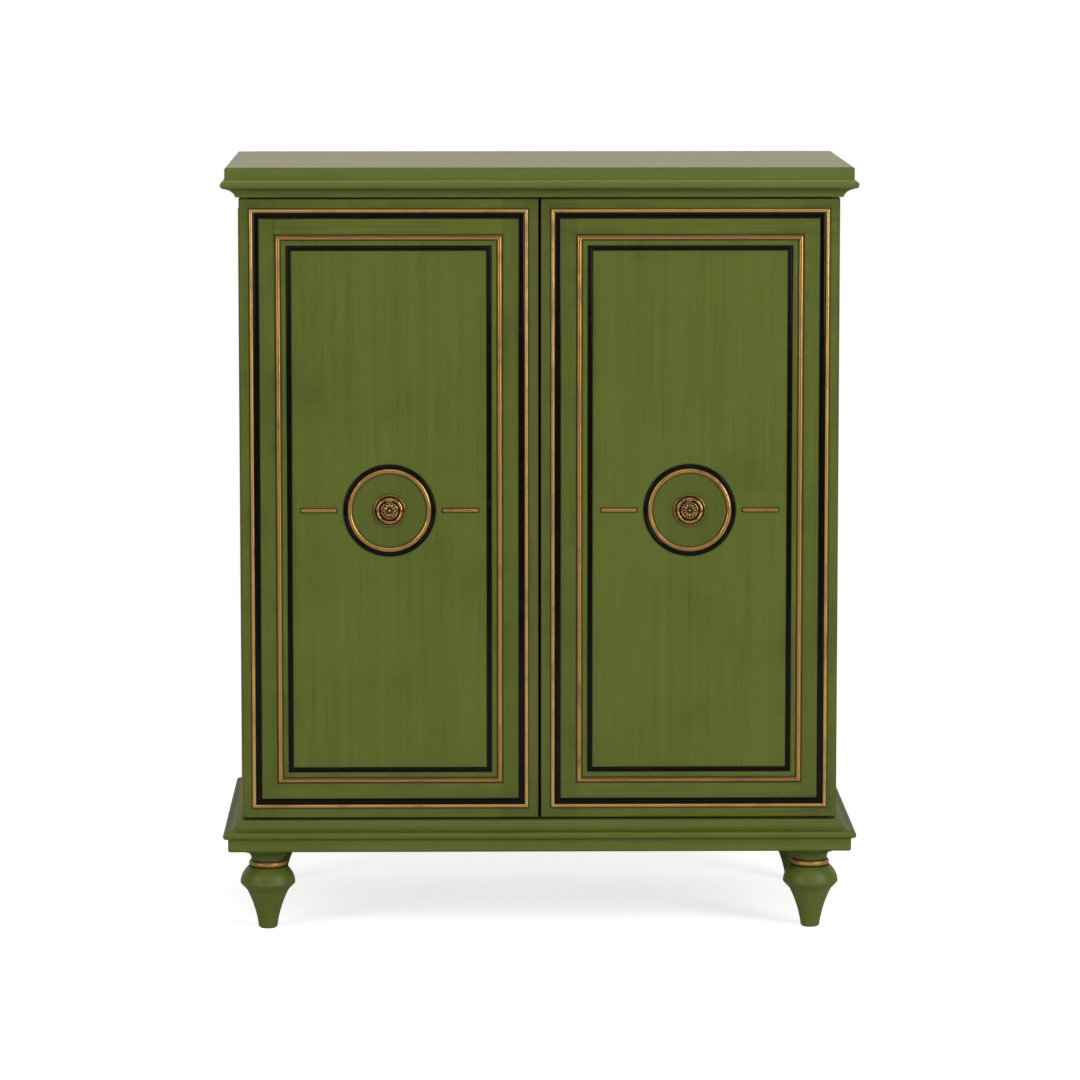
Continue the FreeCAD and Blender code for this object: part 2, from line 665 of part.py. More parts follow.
def glide_outline():
    """Half the section of a glide: a disc with an eased edge, and its nail."""
    ease = s.glide_thick / 2
    nail_top = s.glide_thick + s.glide_nail_length
    return [
        (0, 0),
        (s.glide_radius - ease, 0),
        (s.glide_radius, ease, ease),
        (s.glide_radius, s.glide_thick),
        (s.glide_nail_radius, s.glide_thick),
        (s.glide_nail_radius, nail_top),
        (0, nail_top),
    ]


def case_screw_rows():
    """The places of the case screws along the depth."""
    first = case_front_y + s.case_screw_front
    last = back_y - s.case_screw_back
    return [first + (last - first) * share for share in CASE_SCREW_SHARES]


def leaf_screw_spots(sign=-1):
    """The places of a hinge leaf's two screws, on the left or the right."""
    steps = [s.leaf_screw_first, s.leaf_screw_first + s.leaf_screw_pitch]
    return [((pivot_x + step) * -sign, pivot_y) for step in steps]


def leaf_outline(grow, sign=-1):
    """A hinge leaf's outline, rounded about the pivot, grown by a clearance, on the left or the right."""
    half = s.leaf_half_width + grow
    end = pivot_x + s.leaf_length + grow
    turn = as_size(-sign)
    outline = [
        (pivot_x, pivot_y - half, half * turn),
        (end, pivot_y - half),
        (end, pivot_y + half),
        (pivot_x, pivot_y + half),
        (pivot_x - half, pivot_y, half * turn),
    ]
    return [(corner[0] * turn,) + corner[1:] for corner in outline]


def make_case():
    """The bottom and top boards, the sides and the back panel, with the screws that hold them."""
    row_x = inner_half + s.side_thick / 2
    rows = [(row_x * side, along) for side in (-1, 1) for along in case_screw_rows()]
    clear = s.case_screw_radius + s.screw_play
    sunk = s.case_screw_head + s.head_play
    sunk_depth = s.case_screw_head_thick

    bottom = board("bottom", (-half_width, face_y, block_top), (half_width, back_y, plinth_top))
    bore(bottom, "XY_Plane", block_top, rows, clear, s.bottom_thick, reverse=True)
    bore(bottom, "XY_Plane", block_top, rows, sunk, sunk_depth, reverse=True)
    feet = [(foot_x * side, along) for side in (-1, 1) for along in (foot_front_y, foot_back_y)]
    bolt_depth = s.foot_bolt_reach + s.screw_play
    bore(bottom, "XY_Plane", block_top, feet, s.foot_bolt_radius + s.screw_play, bolt_depth, reverse=True)

    top = board("top", (-half_width, face_y, crown_bottom), (half_width, back_y, crown_top))
    bore(top, "XY_Plane", crown_top, rows, clear, s.crown_height)
    bore(top, "XY_Plane", crown_top, rows, sunk, sunk_depth)
    spots = top_screw_spots()
    shank = s.top_screw_radius + s.screw_play
    head = s.top_screw_head + s.head_play
    bore(top, "XY_Plane", crown_bottom, spots, shank, s.crown_height, reverse=True)
    bore(top, "XY_Plane", crown_bottom, spots, head, s.top_screw_head_thick, reverse=True)
    pilot = s.small_screw_radius + s.screw_play
    bore(top, "XY_Plane", crown_bottom, catch_screw_spots(), pilot, catch_screw_depth(), reverse=True)

    for side in (-1, 1):
        leaf = [leaf_outline(s.head_play, side)]
        spots = leaf_screw_spots(side)
        depth = s.leaf_thick + s.small_screw_length
        cut(top, draw(top, "mortise", "XY_Plane", leaf, offset=crown_bottom), s.leaf_thick, reverse=True)
        bore(top, "XY_Plane", crown_bottom, spots, pilot, depth, reverse=True)
        cut(bottom, draw(bottom, "mortise", "XY_Plane", leaf, offset=plinth_top), s.leaf_thick)
        bore(bottom, "XY_Plane", plinth_top, spots, pilot, depth)
    keep(bottom, "case_bottom")
    keep(top, "case_top")

    make_side()
    make_back()
    up = [case_screw((across, along, crown_top), "up") for across, along in rows]
    down = [case_screw((across, along, block_top), "down") for across, along in rows]
    keep(group("screws", up + down), "case_screws")


def case_screw(spot, head_faces):
    """A screw that joins a side to the top or the bottom board."""
    return screw(spot, head_faces, s.case_screw_head, s.case_screw_head_thick, s.case_screw_radius,
                 s.case_screw_length)


def make_side():
    """The side panels, with the rebate for the back, the pin holes and the pilot holes."""
    left = board("side", (-half_width, case_front_y, plinth_top), (-inner_half, back_y, crown_bottom))
    over = s.cut_overrun
    ledge = -inner_half - s.back_lap
    rebate = [
        (ledge, back_inner_y),
        (over - inner_half, back_inner_y),
        (over - inner_half, back_y + over),
        (ledge, back_y + over),
    ]
    cut(left, draw(left, "rebate", "XY_Plane", [rebate], offset=crown_bottom), crown_bottom - plinth_top)

    pin_spots = [
        (along, shelf_pin_z(shelf) + s.shelf_pin_pitch * step)
        for along in shelf_pin_rows()
        for shelf in range(SHELF_COUNT)
        for step in SHELF_PIN_STEPS
    ]
    pin_depth = s.shelf_pin_depth + s.hole_overrun
    bore(left, "YZ_Plane", -inner_half, pin_spots, s.shelf_pin_radius + s.screw_play, pin_depth)

    middle = -inner_half - s.side_thick / 2
    rows = [(middle, along) for along in case_screw_rows()]
    clear = s.case_screw_radius + s.screw_play
    shank = s.case_screw_head_thick + s.case_screw_length + s.hole_overrun
    bore(left, "XY_Plane", crown_bottom, rows, clear, shank - s.crown_height)
    bore(left, "XY_Plane", plinth_top, rows, clear, shank - s.bottom_thick, reverse=True)

    across = -inner_half - s.back_lap / 2
    spots = [(across, height) for height in back_screw_heights()]
    depth = s.back_screw_length - s.back_thick + s.hole_overrun
    bore(left, "XZ_Plane", -back_inner_y, spots, s.back_screw_radius + s.screw_play, depth, reverse=True)
    pair(left, "side_panel")


def back_screw_heights():
    """The heights of the back panel's screws."""
    first = plinth_top + s.back_screw_inset
    last = crown_bottom - s.back_screw_inset
    shares = [step / (BACK_SCREW_COUNT - 1) for step in range(BACK_SCREW_COUNT)]
    return [first + (last - first) * share for share in shares]


def make_back():
    """The back panel in its rebates, and its screws."""
    edge = inner_half + s.back_lap - s.panel_play
    low = (-edge, back_inner_y, plinth_top + s.panel_play)
    high = (edge, back_outer_y, crown_bottom - s.panel_play)
    panel = board("back", low, high)
    across = inner_half + s.back_lap / 2
    spots = [(across * side, height) for side in (-1, 1) for height in back_screw_heights()]
    hole = s.back_screw_radius + s.screw_play
    bore(panel, "XZ_Plane", -back_outer_y, spots, hole, s.back_thick, reverse=True)
    keep(panel, "back_panel")

    head_top = back_outer_y + s.back_screw_head_thick
    screws = [
        screw((side, head_top, height), "back", s.back_screw_head, s.back_screw_head_thick,
              s.back_screw_radius, s.back_screw_length)
        for side, height in spots
    ]
    keep(group("screws", screws), "back_panel_screws")


def top_screw_spots():
    """The places of the screws that hold the top board from below."""
    across = half_width - s.top_screw_side
    rows = (face_y + s.top_screw_inset, back_y - s.top_screw_inset)
    return [(across * side, along) for side in (-1, 1) for along in rows]


def make_top():
    """The top board, the crown under its edge, and the screws that hold the board."""
    mitred_mouldings("crown", crown_profile(), s.crown_nose, crown_top)
    edge = half_width + s.top_overhang
    front = face_y - s.top_overhang
    height = crown_top + s.top_thick
    top = board("top_board", (-edge, front, crown_top), (edge, back_y, height))
    above_case = s.top_screw_head_thick + s.top_screw_length - s.crown_height
    bore(top, "XY_Plane", crown_top, top_screw_spots(), s.top_screw_radius + s.screw_play,
         above_case + s.hole_overrun, reverse=True)
    round_edges(
        top, s.top_round,
        lambda box: near(box.ZMin, height) or (near(box.ZLength, s.top_thick) and near(box.YMax, front)),
    )
    keep(top, "top_board")
    screws = [
        screw((across, along, crown_bottom), "down", s.top_screw_head, s.top_screw_head_thick,
              s.top_screw_radius, s.top_screw_length)
        for across, along in top_screw_spots()
    ]
    keep(group("screws", screws), "top_board_screws")


def shelf_bottom(shelf):
    """The height of a shelf's underside, counted from the lowest."""
    return plinth_top + shelf_gap * (shelf + 1) + s.shelf_thick * shelf


def shelf_pin_z(shelf):
    """The height of the pins under a shelf."""
    return shelf_bottom(shelf) - s.shelf_pin_radius


def shelf_pin_rows():
    """The places of the two rows of pin holes along the depth."""
    return (case_front_y + s.shelf_pin_inset, back_y - s.shelf_pin_inset)


def make_shelves():
    """Two loose shelves on pins."""
    edge = inner_half - s.shelf_play
    front = case_front_y + s.shelf_setback
    rear = back_inner_y - s.shelf_play
    for shelf, name in enumerate(("lower_shelf", "upper_shelf")):
        low = shelf_bottom(shelf)
        plank = board(name, (-edge, front, low), (edge, rear, low + s.shelf_thick))
        round_edges(plank, s.shelf_round, lambda box: near(box.YMax, front) and near(box.XLength, edge * 2))
        keep(plank, name)

    pin = s.shelf_pin_radius
    outline = [
        (0, -s.shelf_pin_depth),
        (pin, -s.shelf_pin_depth),
        (pin, 0),
        (s.shelf_pin_collar, 0),
        (s.shelf_pin_collar, s.shelf_pin_collar_thick),
        (pin, s.shelf_pin_collar_thick),
        (pin, s.shelf_pin_length),
        (0, s.shelf_pin_length),
    ]
    left = [
        place(turned("pin", outline), (-inner_half, along, shelf_pin_z(shelf)), "right")
        for along in shelf_pin_rows()
        for shelf in range(SHELF_COUNT)
    ]
    right = [mirror(piece, Vector(1, 0, 0)) for piece in left]
    keep(group("pins", left + right), "shelf_pins")


def strip_frame(name, spot, half_across, half_up, width, rise, sideways=False):
    """Four half-round strips, mitred into a frame on an upright face.

    The face looks to the front, or to the left where the frame is sideways.
    """
    over = s.cut_overrun
    curve = segment_radius(width, rise)
    across_normal = Vector(0, 1, 0) if sideways else Vector(1, 0, 0)
    inner_across = half_across - width
    inner_up = half_up - width

    upright = new_body(f"{name}_upright")
    section = [(-half_across, 0, -curve), (-inner_across, 0), (width / 2 - half_across, -rise, -curve)]
    pad(upright, draw(upright, "section", "XY_Plane", [section]), half_up * 2, symmetric=True)
    above = [
        (-half_across - over, half_up + over),
        (-inner_across + over, inner_up - over),
        (-inner_across + over, half_up + over),
    ]
    below = [(across, -up) for across, up in reversed(above)]
    cut(upright, draw(upright, "mitres", "XZ_Plane", [above, below]), (rise + over) * 2, symmetric=True)

    level = new_body(f"{name}_level")
    section = [(0, inner_up, curve), (0, half_up), (-rise, half_up - width / 2, curve)]
    pad(level, draw(level, "section", "YZ_Plane", [section]), half_across * 2, symmetric=True)
    left = [
        (-half_across - over, half_up + over),
        (-half_across - over, inner_up - over),
        (-inner_across + over, inner_up - over),
    ]
    right = [(-across, up) for across, up in reversed(left)]
    cut(level, draw(level, "mitres", "XZ_Plane", [left, right]), (rise + over) * 2, symmetric=True)

    for piece in (upright, level):
        place(piece, spot, "left_face" if sideways else "up")
    doc.recompute()
    return [upright, mirror(upright, across_normal, spot), level, mirror(level, Vector(0, 0, 1), spot)]


def moulding_kinds():
    """The four mouldings of a panel: the name, the inset, the width and the height of each."""
    black_inset = s.outer_gold_inset + s.outer_gold_width
    return [
        ("outer_gold", s.outer_gold_inset, s.outer_gold_width, s.outer_gold_rise),
        ("outer_black", black_inset, s.outer_black_width, s.outer_black_rise),
        ("inner_gold", s.inner_gold_inset, s.inner_gold_width, s.inner_gold_rise),
        ("inner_black", s.inner_black_inset, s.inner_black_width, s.inner_black_rise),
    ]


def make_side_mouldings():
    """The gold and the black mouldings on the outside of the sides, level with those on the doors."""
    half_depth = (back_y - case_front_y) / 2
    spot = (-half_width, case_front_y + half_depth, door_middle)
    strips = {"gold": [], "black": []}
    for name, inset, width, rise in moulding_kinds():
        half_up = s.door_height / 2 - inset
        colour = name.split("_")[1]
        strips[colour] += strip_frame(name, spot, half_depth - inset, half_up, width, rise, sideways=True)
    for colour, pieces in strips.items():
        pair(group(f"side_{colour}", pieces), f"side_{colour}_frames")


def make_door():
    """The doors, with the mortises for the hinges and the holes for the screws."""
    door = board("door", (-half_width, face_y, door_bottom), (-s.meeting_gap / 2, door_back_y, door_top))
    round_edges(door, s.door_round, lambda box: near(box.YMax, face_y))
    leaf = [leaf_outline(s.head_play)]
    pilot = s.small_screw_radius + s.screw_play
    depth = s.leaf_thick + s.small_screw_length
    cut(door, draw(door, "mortise", "XY_Plane", leaf, offset=door_top), s.leaf_thick)
    bore(door, "XY_Plane", door_top, leaf_screw_spots(), pilot, depth)
    cut(door, draw(door, "mortise", "XY_Plane", leaf, offset=door_bottom), s.leaf_thick, reverse=True)
    bore(door, "XY_Plane", door_bottom, leaf_screw_spots(), pilot, depth, reverse=True)
    hole = s.pull_screw_radius + s.pull_screw_hole_play
    bore(door, "XZ_Plane", -face_y, [(door_centre_x, door_middle)], hole, s.door_thick)
    strike = [(-s.magnet_offset, magnet_z)]
    bore(door, "XZ_Plane", -door_back_y, strike, pilot, s.small_screw_length, reverse=True)
    pair(door, "door")


def make_door_mouldings():
    """The four frames on a door, and the rings and bars in its middle."""
    spot = (door_centre_x, face_y, door_middle)
    for name, inset, width, rise in moulding_kinds():
        half_up = s.door_height / 2 - inset
        pieces = strip_frame(name, spot, door_half_width - inset, half_up, width, rise)
        pair(group(f"door_{name}", pieces), f"door_{name}_frame")

    gold = half_round_ring(spot, s.gold_ring_radius, s.gold_ring_width, s.gold_ring_rise)
    black_inner = s.gold_ring_radius + s.gold_ring_width
    black = half_round_ring(spot, black_inner, s.black_ring_width, s.black_ring_rise)
    pair(black, "door_black_ring")

    inner_end = black_inner + s.black_ring_width + s.bar_inner_gap
    outer_end = door_half_width - s.inner_black_inset - s.inner_black_width - s.bar_outer_gap
    bar = gold_bar(spot, inner_end, outer_end)
    pair(group("medallion", [gold, bar, mirror(bar, Vector(1, 0, 0), spot)]), "door_gold_ring_and_bars")


def half_round_ring(spot, inner, width, rise):
    """A half-round ring on a door's face."""
    curve = segment_radius(width, rise)
    outline = [(inner, 0, curve), (inner + width, 0), (inner + width / 2, rise, curve)]
    return place(turned("ring", outline), spot, "front")


def gold_bar(spot, inner_end, outer_end):
    """A short bar with round ends, beside the rings."""
    bar = new_body("bar")
    half = s.bar_width / 2
    outline = [
        (inner_end + half, -half, half),
        (outer_end - half, -half),
        (outer_end, 0, half),
        (outer_end - half, half, half),
        (inner_end + half, half),
        (inner_end, 0, half),
    ]
    pad(bar, draw(bar, "outline", "XY_Plane", [outline]), s.bar_rise)
    round_edges(bar, s.bar_round, lambda box: near(box.ZMin, s.bar_rise))
    return place(bar, spot, "front")


def hinge_leaf(low, hole_radius, counterbore_from, up):
    """A hinge leaf with its screw holes, sunk for the heads on one face."""
    leaf = new_body("leaf")
    holes = [(pivot_x, pivot_y, hole_radius)] if hole_radius else []
    pad(leaf, draw(leaf, "outline", "XY_Plane", [leaf_outline(as_size(0))], holes, low), s.leaf_thick)
    spots = leaf_screw_spots()
    shank = s.small_screw_radius + s.screw_play
    head = s.small_screw_head + s.head_play
    bore(leaf, "XY_Plane", counterbore_from, spots, shank, s.leaf_thick, reverse=not up)
    bore(leaf, "XY_Plane", counterbore_from, spots, head, s.small_screw_head_thick, reverse=not up)
    return leaf


def make_hinges():
    """Pivot hinges: leaves with pins in the doors, leaves with holes in the case, and washers."""
    through = (0, 0, door_middle)
    upward = Vector(0, 0, 1)

    moving = hinge_leaf(door_top - s.leaf_thick, None, door_top, True)
    pin_length = s.door_gap + s.leaf_thick
    pin = draw(moving, "pin", "XY_Plane", [], [(pivot_x, pivot_y, s.pivot_radius)], door_top)
    pad(moving, pin, pin_length)
    pair(group("leaves", [moving, mirror(moving, upward, through)]), "door_hinge_leaves")

    fixed = hinge_leaf(crown_bottom, s.pivot_radius + s.pivot_play, crown_bottom, False)
    fixed_pair = group("leaves", [fixed, mirror(fixed, upward, through)])
    keep(group("case_leaves", [fixed_pair, mirror(fixed_pair, Vector(1, 0, 0))]), "case_hinge_leaves")

    inner = s.pivot_radius + s.head_play
    thick = s.door_gap - s.washer_play
    ring = [(inner, 0), (s.washer_radius, 0), (s.washer_radius, thick), (inner, thick)]
    washer = place(turned("washer", ring), (pivot_x, pivot_y, door_top))
    washer_pair = group("washers", [washer, mirror(washer, upward, through)])
    keep(group("all_washers", [washer_pair, mirror(washer_pair, Vector(1, 0, 0))]), "hinge_washers")


def make_hardware_screws():
    """The screws of the hinges, the strikes, the pulls and the catch."""
    through = (0, 0, door_middle)
    upward = Vector(0, 0, 1)

    upper = [small_screw((across, along, door_top), "up") for across, along in leaf_screw_spots()]
    lower = [mirror(piece, upward, through) for piece in upper]
    face = door_back_y + s.strike_thick
    strike_screw = small_screw((-s.magnet_offset, face, magnet_z), "back")
    head_top = (door_centre_x, door_back_y + s.pull_screw_head_thick, door_middle)
    length = s.door_thick + s.pull_screw_grip
    pull_screw = screw(head_top, "back", s.pull_screw_head, s.pull_screw_head_thick,
                       s.pull_screw_radius, length)
    pair(group("door_screws", upper + lower + [strike_screw, pull_screw]), "door_screws")

    upper = [small_screw((across, along, crown_bottom), "down") for across, along in leaf_screw_spots()]
    lower = [mirror(piece, upward, through) for piece in upper]
    left = group("left_screws", upper + lower)
    head_z = crown_bottom - s.catch_height + catch_head_sink()
    catch = [small_screw((across, along, head_z), "down") for across, along in catch_screw_spots()]
    keep(group("fixed_screws", [left, mirror(left, Vector(1, 0, 0))] + catch), "case_hardware_screws")


def catch_screw_spots():
    """The places of the two screws that hold the catch."""
    across = s.catch_width / 2 - s.small_screw_head - s.catch_round
    along = case_front_y + s.catch_depth - s.small_screw_head - s.catch_round
    return [(-across, along), (across, along)]


def catch_head_sink():
    """How far the heads of the catch's screws are sunk into its underside."""
    return s.catch_height / 2


def catch_screw_depth():
    """How far the catch's screws reach into the top of the case."""
    whole = s.small_screw_length + s.small_screw_head_thick + s.hole_overrun
    return whole + catch_head_sink() - s.catch_height


def make_catch():
    """The magnetic catch under the top of the case, its magnets, and the strikes on the doors."""
    half = s.catch_width / 2
    low = crown_bottom - s.catch_height
    body = board("catch", (-half, case_front_y, low), (half, case_front_y + s.catch_depth, crown_bottom))
    seat_half = s.magnet_width / 2
    seats = []
    for side in (-1, 1):
        centre = s.magnet_offset * side
        bottom = magnet_z - s.magnet_height / 2
        top = magnet_z + s.magnet_height / 2
        left = centre - seat_half
        right = centre + seat_half
        seats.append([(left, bottom), (right, bottom), (right, top), (left, top)])
    cut(body, draw(body, "seats", "XZ_Plane", seats, offset=-case_front_y), s.magnet_depth)
    head = s.small_screw_head + s.head_play
    shank = s.small_screw_radius + s.screw_play
    head_depth = catch_head_sink() + s.small_screw_head_thick
    bore(body, "XY_Plane", low, catch_screw_spots(), shank, s.catch_height, reverse=True)
    bore(body, "XY_Plane", low, catch_screw_spots(), head, head_depth, reverse=True)
    round_edges(body, s.catch_round, lambda box: near(box.ZLength, s.catch_height) and near(box.XLength, 0))
    keep(body, "magnetic_catch")

    magnets = []
    for seat in seats:
        magnet = new_body("magnet")
        sketch = draw(magnet, "outline", "XZ_Plane", [seat], offset=-(case_front_y + s.magnet_depth))
        pad(magnet, sketch, s.magnet_depth + s.magnet_proud)
        magnets.append(magnet)
    keep(group("magnets", magnets), "catch_magnets")

    plate_half = s.strike_width / 2
    low = (-s.magnet_offset - plate_half, door_back_y, magnet_z - s.strike_height / 2)
    high = (plate_half - s.magnet_offset, door_back_y + s.strike_thick, magnet_z + s.strike_height / 2)
    plate = board("strike", low, high)
    strike = [(-s.magnet_offset, magnet_z)]
    face = -(door_back_y + s.strike_thick)
    bore(plate, "XZ_Plane", face, strike, shank, s.strike_thick, reverse=True)
    bore(plate, "XZ_Plane", face, strike, head, s.small_screw_head_thick, reverse=True)
    pair(plate, "strike_plate")


def make_pull():
    """The round back plate, and the ring that hangs in its knuckle."""
    spot = (door_centre_x, face_y, door_middle)
    bore_radius = s.pull_screw_radius + s.screw_play
    bore_top = s.pull_screw_grip + s.head_play
    rim_width = s.pull_radius - s.pull_rim_inner
    rim_middle = s.pull_rim_inner + rim_width / 2
    rim_curve = segment_radius(rim_width, s.pull_rim_height - s.pull_floor)
    bead_width = s.pull_boss_radius - s.pull_bead_inner
    bead_curve = segment_radius(bead_width, s.pull_bead_height - s.pull_boss_height)
    button_rise = s.pull_button_height - s.pull_face_height
    outline = [
        (bore_radius, 0),
        (s.pull_radius, 0),
        (s.pull_radius, s.pull_edge),
        (rim_middle, s.pull_rim_height, rim_curve),
        (s.pull_rim_inner, s.pull_floor, rim_curve),
        (s.pull_boss_radius, s.pull_floor),
        (s.pull_boss_radius, s.pull_boss_height),
        (s.pull_bead_inner + bead_width / 2, s.pull_bead_height, bead_curve),
        (s.pull_bead_inner, s.pull_face_height, bead_curve),
        (s.pull_button_radius, s.pull_face_height),
        (0, s.pull_button_height, segment_radius(s.pull_button_radius * 2, button_rise)),
        (0, bore_top),
        (bore_radius, bore_top),
    ]
    plate = turned("plate", outline)
    knuckle = [
        (ring_axle_rise - s.knuckle_radius, s.pull_edge),
        (ring_axle_rise + s.knuckle_radius, s.pull_edge),
        (ring_axle_rise + s.knuckle_radius, ring_height),
        (ring_axle_rise, ring_height + s.knuckle_radius, s.knuckle_radius),
        (ring_axle_rise - s.knuckle_radius, ring_height, s.knuckle_radius),
    ]
    pad(plate, draw(plate, "knuckle", "YZ_Plane", [knuckle]), s.knuckle_width, symmetric=True)
    eye = [(ring_axle_rise, ring_height, s.ring_axle_radius + s.ring_axle_play)]
    cut(plate, draw(plate, "eye", "YZ_Plane", [], eye), s.knuckle_width + s.cut_overrun, symmetric=True)
    pair(place(plate, spot, "front"), "pull_plate")

    ring = new_body("pull_ring")
    wire = draw(ring, "wire", "YZ_Plane", [], [(-s.ring_radius, ring_height, s.ring_wire)])
    turn = ring.newObject("PartDesign::Revolution", "turning")
    turn.Profile = wire
    turn.ReferenceAxis = (wire, ["V_Axis"])
    turn.Midplane = True
    bind(turn, "Angle", as_size(FULL_TURN) - arc_sine(ring_gap_sine) * 2)
    doc.recompute()
    axle = draw(ring, "axle", "YZ_Plane", [], [(ring_axle_rise, ring_height, s.ring_axle_radius)])
    pad(ring, axle, s.ring_radius * ring_gap_sine * 2 + s.ring_wire, symmetric=True)
    pair(place(ring, spot, "front"), "pull_ring")


def check_document():
    """Stop if any object failed, or any sub-part is not made of sound solids."""
    for item in doc.Objects:
        if {"Invalid", "Error"} & set(item.State):
            raise RuntimeError(f"{item.Label} failed: {item.State}")
    for piece in nodes:
        shape = piece.Shape
        if shape.isNull() or not shape.isValid() or not shape.Solids:
            raise RuntimeError(f"{piece.Label} has no sound shape")


def write_parts():
    """Write each sub-part to its own file."""
    os.makedirs("parts", exist_ok=True)
    for piece in nodes:
        solids = piece.Shape.Solids
        shape = solids[0] if len(solids) == 1 else Part.makeCompound(solids)
        shape.exportStep(f"parts/{piece.Label}.step")


make_base()
make_case()
make_top()
make_shelves()
make_side_mouldings()
make_door()
make_door_mouldings()
make_hinges()
make_hardware_screws()
make_catch()
make_pull()
doc.recompute()
check_document()
write_parts()
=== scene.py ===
"""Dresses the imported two-door cabinet: brushed green paint, gilt mouldings and brass pulls."""

import functools
import math

import bpy
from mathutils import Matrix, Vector


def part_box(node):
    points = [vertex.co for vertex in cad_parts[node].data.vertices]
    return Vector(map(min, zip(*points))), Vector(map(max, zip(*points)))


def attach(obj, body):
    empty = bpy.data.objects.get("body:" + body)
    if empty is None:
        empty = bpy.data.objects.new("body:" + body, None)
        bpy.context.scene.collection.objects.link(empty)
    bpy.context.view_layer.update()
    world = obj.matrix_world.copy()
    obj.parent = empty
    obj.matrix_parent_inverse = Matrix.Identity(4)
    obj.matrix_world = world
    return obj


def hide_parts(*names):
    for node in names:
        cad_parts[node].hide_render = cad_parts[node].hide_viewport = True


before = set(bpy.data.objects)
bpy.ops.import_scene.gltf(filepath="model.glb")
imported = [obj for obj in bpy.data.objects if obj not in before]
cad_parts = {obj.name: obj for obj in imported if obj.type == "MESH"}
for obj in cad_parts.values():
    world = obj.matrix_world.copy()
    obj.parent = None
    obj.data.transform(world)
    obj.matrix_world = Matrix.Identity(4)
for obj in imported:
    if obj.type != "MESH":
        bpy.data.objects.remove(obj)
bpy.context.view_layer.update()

bl_info = {
    "name": "Painted cabinet",
    "version": (1, 0, 0),
    "blender": (4, 5, 0),
    "location": "View3D > Sidebar > Cabinet",
    "description": "Paints and finishes a two-door cabinet and sets its stage",
    "category": "Object",
}

MM = 0.001

# Heights of the crown's and the plinth's shapes above their lower edges.
CROWN_COVE_HEIGHT = 9.6 * MM
PLINTH_BEAD_LOW = 16.2 * MM
PLINTH_BEAD_HIGH = 25.2 * MM
PLINTH_COVE_MIDDLE = 29.0 * MM
# How far down from its top the crown's bead gets a painted highlight.
CROWN_HIGHLIGHT_DEPTH = 3.2 * MM

# Heights of the foot's creases above the floor.
FOOT_BULB_CREASE = 47.5 * MM
FOOT_RING_LOW = 76.6 * MM
FOOT_RING_HIGH = 83.4 * MM
FOOT_FLARE_TOP = 94.6 * MM

# The rings and the bars around a pull, measured on the door's face.
GOLD_RING_MIDDLE = 47.4 * MM
GOLD_RING_WIDTH = 6.0 * MM
BLACK_RING_MIDDLE = 52.85 * MM
BLACK_RING_WIDTH = 4.9 * MM
BAR_MIDDLE = 84.825 * MM
BAR_LENGTH = 43.05 * MM
BAR_WIDTH = 4.5 * MM

# The pull's plate: radii of its rosette and its rim, and heights of its shade above the door.
ROSETTE_RADIUS = 10.6 * MM
RIM_RADIUS = 16.4 * MM
ROSETTE_SHADE = (3.55 * MM, 4.25 * MM)
TROUGH_DROP = 2.0 * MM
RING_SHADE = (2.1 * MM, 3.1 * MM)

# Brush strokes, grain and rubbing: how tightly each runs along x, y and z.
UPRIGHT_STROKES = (520.0, 520.0, 9.0)
ACROSS_STROKES = (9.0, 520.0, 520.0)
DEPTH_STROKES = (520.0, 9.0, 520.0)
TURNED_STROKES = (45.0, 45.0, 420.0)
ACROSS_GRAIN = (3.0, 60.0, 60.0)
UPRIGHT_GRAIN = (60.0, 60.0, 3.0)
UPRIGHT_RUB = (900.0, 900.0, 16.0)
ACROSS_RUB = (16.0, 900.0, 900.0)
SIDE_RUB = (16.0, 16.0, 900.0)
TURNED_RUB = (40.0, 40.0, 900.0)
RING_RUB = (90.0, 90.0, 90.0)
BRASS_RUB = (520.0, 520.0, 520.0)

# How far a change of finish at an edge fades.
SOFT_EDGE = 0.2 * MM

WHITE = (1.0, 1.0, 1.0)
# Each soft box: its place, its width and height in metres, and its power in watts.
SOFT_BOXES = {
    "left_soft_box": ((-2.7, -2.6, 1.5), 0.9, 2.2, 39.0),
    "right_soft_box": ((2.7, -2.6, 1.5), 0.9, 2.2, 68.0),
    "overhead_soft_box": ((0.0, -2.2, 3.0), 3.0, 2.2, 25.0),
}
SOFT_BOX_AIM = (0.0, -0.1, 0.5)
FLOOR_HALF = 2.4
SENSOR_WIDTH = 36.0
FAR_CLIP = 100.0


class Panel:
    """Where a framed panel is: its middle, its half sizes and the place of its face, in metres.

    Its width lies along x (0) or y (1), and it faces along the other of the two.
    """

    def __init__(self, node, across):
        low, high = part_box(node)
        middle = (low + high) / 2
        self.across_axis = across
        self.across_middle = abs(middle[across]) if across == 0 else middle[across]
        self.up_middle = middle.z
        self.half_across = (high[across] - low[across]) / 2
        self.half_up = (high.z - low.z) / 2
        self.face = low[1 - across]


DOOR = Panel("left_door", 0)
SIDE = Panel("left_side_panel", 1)
# The sides' frames stand at the doors' heights.
SIDE.half_up = DOOR.half_up
SIDE.up_middle = DOOR.up_middle


def outer_half(node):
    """Half the width and half the height of a door moulding's outer edge."""
    low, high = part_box(node)
    return (high.x - low.x) / 2, (high.z - low.z) / 2


INNER_GOLD_WIDTH = 6.2 * MM
# The strips of a panel: the moulding, its width, and how strongly the glaze shows beside it.
STRIPS = (
    ("outer_gold", 4.6 * MM, 0.80),
    ("outer_black", 7.2 * MM, 0.45),
    ("inner_gold", INNER_GOLD_WIDTH, 0.90),
    ("inner_black", 5.8 * MM, 0.50),
)


def setting(kind, **limits):
    """A function that makes settings of one kind from a name, a description and a default."""

    def make(name, description, default):
        return kind(name=name, description=description, default=default, **limits)

    return make


